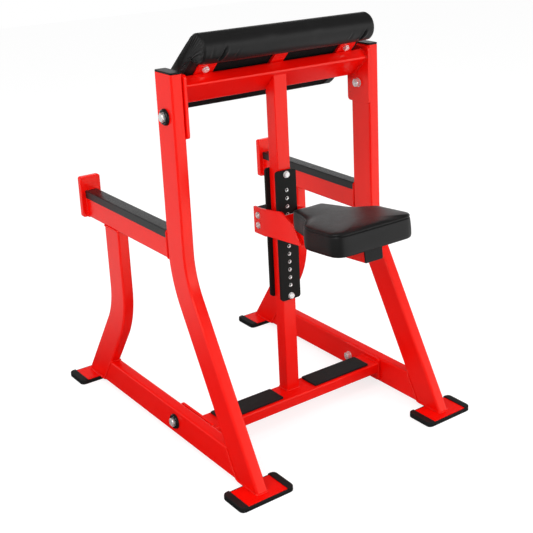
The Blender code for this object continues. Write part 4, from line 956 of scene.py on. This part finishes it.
# The cover is gathered under the roll near each end, in a sharp crease and slight ones, each with
# its start and end as (x, angle round the roll) and its depth, and it is pleated over the ends
CREASES = (((-0.223, radians(-144)), (-0.240, radians(-96)), 0.0080),
           ((0.255, radians(-134)), (0.239, radians(-92)), 0.0085),
           ((-0.262, radians(-150)), (-0.268, radians(-112)), 0.0016),
           ((-0.180, radians(-128)), (-0.192, radians(-100)), 0.0014),
           ((0.205, radians(-128)), (0.196, radians(-100)), 0.0014))
CREASE_WIDTH = 0.0034
PLEATS = 46
PLEAT_DEPTH = 0.0011
normals = [vertex.normal.copy() for vertex in pad_mesh.vertices]
for vertex, normal in zip(pad_mesh.vertices, normals):
    away = vertex.co - PAD_CENTRE
    u, n, x = away.dot(slope_down), away.dot(slope_up), vertex.co.x
    angle = atan2(n - ROLL_N, u - ROLL_U)
    push = Vector((0.0, 0.0, 0.0))
    if angle < radians(-60) or angle > radians(150):
        turn = angle if angle < 0 else angle - 2 * pi
        for (x_from, a_from), (x_to, a_to), depth in CREASES:
            line = Vector((x_to - x_from, ROLL_RADIUS * (a_to - a_from)))
            spot = Vector((x - x_from, ROLL_RADIUS * (turn - a_from)))
            share = spot.dot(line) / line.length_squared
            off = (spot - line * share).length
            if -0.1 < share < 1.3 and off < 0.02:
                fade = clamped((share + 0.1) / 0.6) * clamped((1.3 - share) / 0.3)
                groove = depth * exp(-((off / CREASE_WIDTH) ** 2))
                lip = 0.3 * depth * exp(-(((off - 0.007) / 0.004) ** 2))
                push -= normal * (groove - lip) * fade
    end = SLAB_END[0] + (ROLL_END[0] - SLAB_END[0]) * roll_share(u)
    over_end = (abs(x - ROLL_SHIFT * roll_share(u)) - end + 0.007) / 0.006
    if over_end > 0.0 and abs(normal.x) > 0.3:
        around = atan2(n - 0.045, (u + 0.02) * 0.4)
        pleat = PLEAT_DEPTH * sin(PLEATS * around) * min(1.0, over_end) * abs(normal.x)
        push += Vector((1.0 if x > 0 else -1.0, 0.0, 0.0)) * (pleat - PLEAT_DEPTH)
    vertex.co += push
arm_pad = cushion("arm_pad_vinyl", "arm_pad_cushion", pad_mesh)


def evenly(line, count):
    """Points spread evenly along a line, from its start to just before its end."""
    reach = [0.0]
    for first, second in zip(line, line[1:]):
        reach.append(reach[-1] + (second - first).length)
    points = []
    index = 0
    for step in range(count):
        target = reach[-1] * step / count
        while reach[index + 1] < target:
            index += 1
        span = max(reach[index + 1] - reach[index], 1e-9)
        points.append(line[index].lerp(line[index + 1], (target - reach[index]) / span))
    return points


SEAM_TURN = radians(30)
SEAM_POINTS = 150
WELT_RADIUS = 0.0013
seams = []
surface = bmesh.new()
surface.from_mesh(arm_pad.data)
skin = BVHTree.FromBMesh(surface)
for side in sides.values():
    seam = [skin.find_nearest(point)[0] for point in pad_ring(side, SEAM_TURN)]
    seam = evenly(seam + seam[:1], SEAM_POINTS)
    for _ in range(2):
        seam = [(seam[i - 1] + seam[i] * 2 + seam[(i + 1) % SEAM_POINTS]) / 4 for i in range(SEAM_POINTS)]
    seams.append(seam)
surface.free()
piece("arm_pad_welts",
      bead.run(poly_lines(seams, closed=True), Radius=WELT_RADIUS, Ripple=0.01, Depth=0.0,
               Spacing=0.003, Finish=black_vinyl),
      "frame", "black_vinyl", black_vinyl, crease=80)


# Seat
# A plywood board with moulded foam on it in black vinyl, narrow between the sitter's thighs and
# wide behind, its top panel sewn to the side band in a sunk seam.
eased("seat_board", board_cloth, 0.0008)
SEAT_TILT = radians(4.8)
SEAT_CORNER = Vector((0.0, -0.2675, 0.601))
seat_up = Vector((0.0, sin(SEAT_TILT), cos(SEAT_TILT)))
seat_ahead = Vector((0.0, -cos(SEAT_TILT), sin(SEAT_TILT)))
SEAT_LOW = 0.0403
SEAT_HIGH = 0.107
SEAT_CROWN = 0.0030
NOSE_LIFT = 0.010              # of the seat's lower face at the tip of the nose
NOSE_LIFT_RUN = 0.105
NOSE_TIP = -0.0095
SEAT_REAR = 0.3085
SEAT_POCKET = 0.0128
SEAT_LAP = 0.0130              # of the cover under the seat, in from its edge
TOP_INSET = 0.0078             # from the side's plan to the edge of the flat top
MIDDLE_LINE = (0.045, 0.235)   # ends of the line that the rings draw in to
# Half of the seat's plan, as (distance ahead, half-width), from the middle of its nose
PLAN = [(-0.0110, 0.0), (-0.0110, 0.046), (-0.0080, 0.053), (0.0005, 0.057), (0.045, 0.0665),
        (0.085, 0.078), (0.101, 0.085), (0.113, 0.096), (0.140, 0.122), (0.152, 0.133), (0.170, 0.1365),
        (0.223, 0.1375)]
PLAN += [(0.2725 + 0.036 * cos(radians(angle)), 0.1015 + 0.036 * sin(radians(angle)))
         for angle in (90, 70, 50, 30, 14)]
PLAN += [(SEAT_REAR, 0.096), (SEAT_REAR, 0.0)]
# Fraction of the side's height, and how far in from the plan; the seam is the deep one
SIDE = [(0.0, 0.0090), (0.0, 0.0060), (0.025, 0.0022), (0.08, 0.0004), (0.20, -0.0004), (0.35, -0.0010),
        (0.50, -0.0013), (0.65, -0.0010), (0.76, -0.0006), (0.825, -0.0001), (0.858, 0.0006),
        (0.872, 0.0034), (0.886, 0.0007), (0.905, 0.0000), (0.935, 0.0003), (0.962, 0.0011),
        (0.984, 0.0027), (0.996, 0.0050)]
HALF_COUNT = 130
line = [Vector((half, ahead, 0.0)) for ahead, half in PLAN]
half_plan = evenly(line, HALF_COUNT) + [line[-1]]
for _ in range(5):
    half_plan = [half_plan[0]] + [(half_plan[i - 1] + half_plan[i] * 2 + half_plan[i + 1]) / 4
                                  for i in range(1, HALF_COUNT)] + [half_plan[-1]]
plan = half_plan + [Vector((-point.x, point.y, 0.0)) for point in half_plan[-2:0:-1]]
plan_count = len(plan)


def plan_inset(distance):
    """The seat's plan drawn in by a distance."""
    ring = []
    for i in range(plan_count):
        along_edge = (plan[(i + 1) % plan_count] - plan[i - 1]).normalized()
        inward = Vector((-along_edge.y, along_edge.x, 0.0))
        ring.append(plan[i] + inward * distance)
    return ring


if sum(a.x * b.y - b.x * a.y for a, b in zip(plan, plan[1:])) < 0:
    plan.reverse()


def seat_place(point, height):
    return SEAT_CORNER + Vector((point.x, 0.0, 0.0)) + seat_ahead * point.y + seat_up * height


def toward_middle(ring, share):
    """Draws a ring in to the seat's middle line."""
    near, far = MIDDLE_LINE
    return [point.lerp(Vector((0.0, min(max(point.y, near), far), 0.0)), share) for point in ring]


def underside(point):
    """Height of the seat's lower face, which lifts towards the tip of the nose."""
    return SEAT_LOW + NOSE_LIFT * max(0.0, 1.0 - (point.y - NOSE_TIP) / NOSE_LIFT_RUN)


rings = []
pocket_ring = plan_inset(SEAT_LAP)
for share in (1.0, 0.75, 0.5, 0.25, 0.06, 0.0):
    rings.append([seat_place(point, underside(point) + SEAT_POCKET)
                  for point in toward_middle(pocket_ring, share)])
for height, inset in SIDE:
    rings.append([seat_place(point, underside(point) + (SEAT_HIGH - underside(point)) * height)
                  for point in plan_inset(inset)])
top_ring = plan_inset(TOP_INSET)
for share in (0.0, 0.05, 0.12, 0.22, 0.36, 0.52, 0.70, 0.86, 1.0):
    lift = SEAT_CROWN * (1 - (1 - share) ** 2) + 0.0002
    rings.append([seat_place(point, SEAT_HIGH + lift) for point in toward_middle(top_ring, share)])


def seat_free(point):
    """Held under the seat and round its lower edge, and free above."""
    return clamped(((point - SEAT_CORNER).dot(seat_up) - SEAT_LOW - NOSE_LIFT - 0.004) / 0.016)


cushion("seat_vinyl", "seat_cushion", stuffed(closed_skin(rings, False), seat_free))


# Pull pin
# A steel pin in a threaded housing screwed to the carriage's front plate, with a ribbed plastic
# knob on its end, hidden under the seat's nose.
eased("pin_housing", bright_zinc, 0.0004)
eased("pull_pin", bright_zinc, 0.0003)
eased("pin_knob", moulded_plastic, 0.0006)


# Studio
# A white floor and surround, graded in reflections alone, the floor with a painted shadow near the
# bench in those reflections; three large soft lamps, of which only the key lamp is reflected; and a
# short telephoto camera at standing eye height, left of the seat.
FLOOR_HALF = 9
FLOOR_GLOW = 0.77
mesh = bpy.data.meshes.new("floor")
mesh.from_pydata([(x * FLOOR_HALF, y * FLOOR_HALF, 0) for x, y in ((-1, -1), (1, -1), (1, 1), (-1, 1))],
                 [], [(0, 1, 2, 3)])
floor = placed("floor", mesh)
paper = Finish("white_paper", (0.80, 0.80, 0.80), None, 0.8, specular=0.1)
floor.data.materials.append(paper.material)
bright = paper.add("ShaderNodeBsdfPrincipled", {},
                   {"Roughness": 0.9, "Specular IOR Level": 0.0, "Emission Strength": FLOOR_GLOW})
bright_node = bright.socket.node


def rays_that_see(tree):
    """1 for the rays that should find the white background, and 0 for those that light the bench."""
    path = tree.add("ShaderNodeLightPath")
    seen = path.other("Is Camera Ray") + path.other("Is Glossy Ray")
    seen = seen + path.other("Is Transmission Ray")
    return tree.add("ShaderNodeMath", {"operation": "MINIMUM"}, {0: seen, 1: 1.0})


BRIGHT_SIDE = (0.474, -0.880, 0.0)
DARK_SIDE = (-0.850, -0.527, 0.0)
FAR_SIDE = (0.5, 0.866, 0.0)


def graded(tree, value, start, end, low, high):
    """Low where the value is under its start, high past its end, and smooth between."""
    return tree.add("ShaderNodeMapRange", {"interpolation_type": "SMOOTHSTEP"},
                    {"Value": value, "From Min": start, "From Max": end, "To Min": low, "To Max": high})


def studio_glow(tree, place):
    """How white a reflected part of the studio is, bright at its right front and dark at its left."""
    heading = tree.add("ShaderNodeVectorMath", {"operation": "NORMALIZE"}, {0: place})
    to_bright, to_dark = (tree.add("ShaderNodeVectorMath", {"operation": "DOT_PRODUCT"},
                                   {0: heading, 1: side_way}, output=1)
                          for side_way in (BRIGHT_SIDE, DARK_SIDE))
    white = graded(tree, to_bright, 0.55, 0.85, low=0.5, high=1.7) \
        * graded(tree, to_dark, 0.5, 0.8, low=1.0, high=0.05)
    return white, tree.add("ShaderNodeLightPath").other("Is Glossy Ray")


mixed = paper.add("ShaderNodeMixShader", {}, {0: rays_that_see(paper)})
paper.tree.links.new(paper.shader.outputs[0], mixed.socket.node.inputs[1])
paper.tree.links.new(bright.socket, mixed.socket.node.inputs[2])
paper.tree.links.new(mixed.socket, paper.tree.nodes["Material Output"].inputs["Surface"])
white, glossy = studio_glow(paper, paper.place)
# Painted shadow: in reflections the floor goes dark within 0.65 m of the bench's middle, clear by 1.5 m
reach = paper.add("ShaderNodeVectorMath", {"operation": "LENGTH"}, {0: paper.place}, output=1)
floor_glow_and_painted_shadow = 1.0 - glossy * (1.0 - white * graded(paper, reach, 0.65, 1.5, low=0.05, high=1.0))
for label, shade in (("Base Color", 0.36), ("Emission Color", 1.0)):
    mix = paper.add("ShaderNodeMix", {"data_type": "RGBA"},
                    {0: floor_glow_and_painted_shadow, 6: (0.0, 0.0, 0.0, 1.0), 7: (shade, shade, shade, 1.0)}, output=2)
    paper.fill(bright_node, {label: mix})

world = bpy.data.worlds.new("studio")
world.use_nodes = True
bpy.context.scene.world = world
sky = Tree(world.node_tree)
room = world.node_tree.nodes["Background"]
room.inputs["Color"].default_value = (1.0, 1.0, 1.0, 1.0)
ROOM_LIGHT = 0.57
heading = sky.add("ShaderNodeTexCoord").other("Generated")
height = sky.add("ShaderNodeSeparateXYZ", {}, {0: heading}).other("Z")
white, glossy = studio_glow(sky, heading)
ahead = sky.add("ShaderNodeVectorMath", {"operation": "DOT_PRODUCT"}, {0: heading, 1: FAR_SIDE},
                output=1)
white = sky.add("ShaderNodeMath", {"operation": "MAXIMUM"},
                {0: white, 1: graded(sky, ahead, 0.3, 0.7, low=0.0, high=1.0)})
white = white * graded(sky, height, 0.24, 0.40, low=1.0, high=0.04)
seeing = rays_that_see(sky)
strength = (1.0 - glossy * (1.0 - white)) * seeing + ROOM_LIGHT * (1.0 - seeing)
world.node_tree.links.new(strength.socket, room.inputs["Strength"])


LIGHT_AIM = Vector((0.0, 0.0, 0.6))


def soft_light(name, place, size, watts, mirrored):
    """A large lamp turned to the bench; one that isn't mirrored shows in no reflection."""
    lamp = bpy.data.lights.new(name, "AREA")
    lamp.shape = "RECTANGLE"
    lamp.size, lamp.size_y = size
    lamp.energy = watts
    item = placed(name, lamp)
    item.visible_glossy = mirrored
    item.location = place
    item.rotation_euler = (LIGHT_AIM - Vector(place)).to_track_quat("-Z", "Y").to_euler()


soft_light("key_light", (-3.2, -1.2, 2.4), (2.2, 2.2), 64, True)
soft_light("fill_light", (2.0, -3.6, 2.2), (2.4, 2.0), 72, False)
soft_light("top_light", (0.0, 0.3, 3.6), (2.6, 2.6), 45, False)

CAMERA_PLACE = Vector((-1.6926, -2.5915, 1.6409))
CAMERA_TURN = radians(39.069)
CAMERA_DIP = radians(16.622)
CAMERA_ROLL = radians(-1.189)
FOCAL_PIXELS = 1053.0
PICTURE = 533
camera_data = bpy.data.cameras.new("camera")
camera_data.sensor_width = 36.0
camera_data.lens = FOCAL_PIXELS / PICTURE * camera_data.sensor_width
# Less than the fitted shift, so that other views keep the bench in the picture
camera_data.shift_x = -0.18
camera_data.shift_y = -0.16
camera = placed("camera", camera_data)
forward = Vector((sin(CAMERA_TURN) * cos(CAMERA_DIP), cos(CAMERA_TURN) * cos(CAMERA_DIP),
                  -sin(CAMERA_DIP)))
across = Vector((cos(CAMERA_TURN), -sin(CAMERA_TURN), 0.0))
upward = across.cross(forward)
right = across * cos(CAMERA_ROLL) + upward * sin(CAMERA_ROLL)
top = upward * cos(CAMERA_ROLL) - across * sin(CAMERA_ROLL)
camera.matrix_world = Matrix((right, top, -forward)).transposed().to_4x4()
camera.location = CAMERA_PLACE
bpy.context.scene.camera = camera
bpy.context.scene.view_settings.view_transform = "Standard"
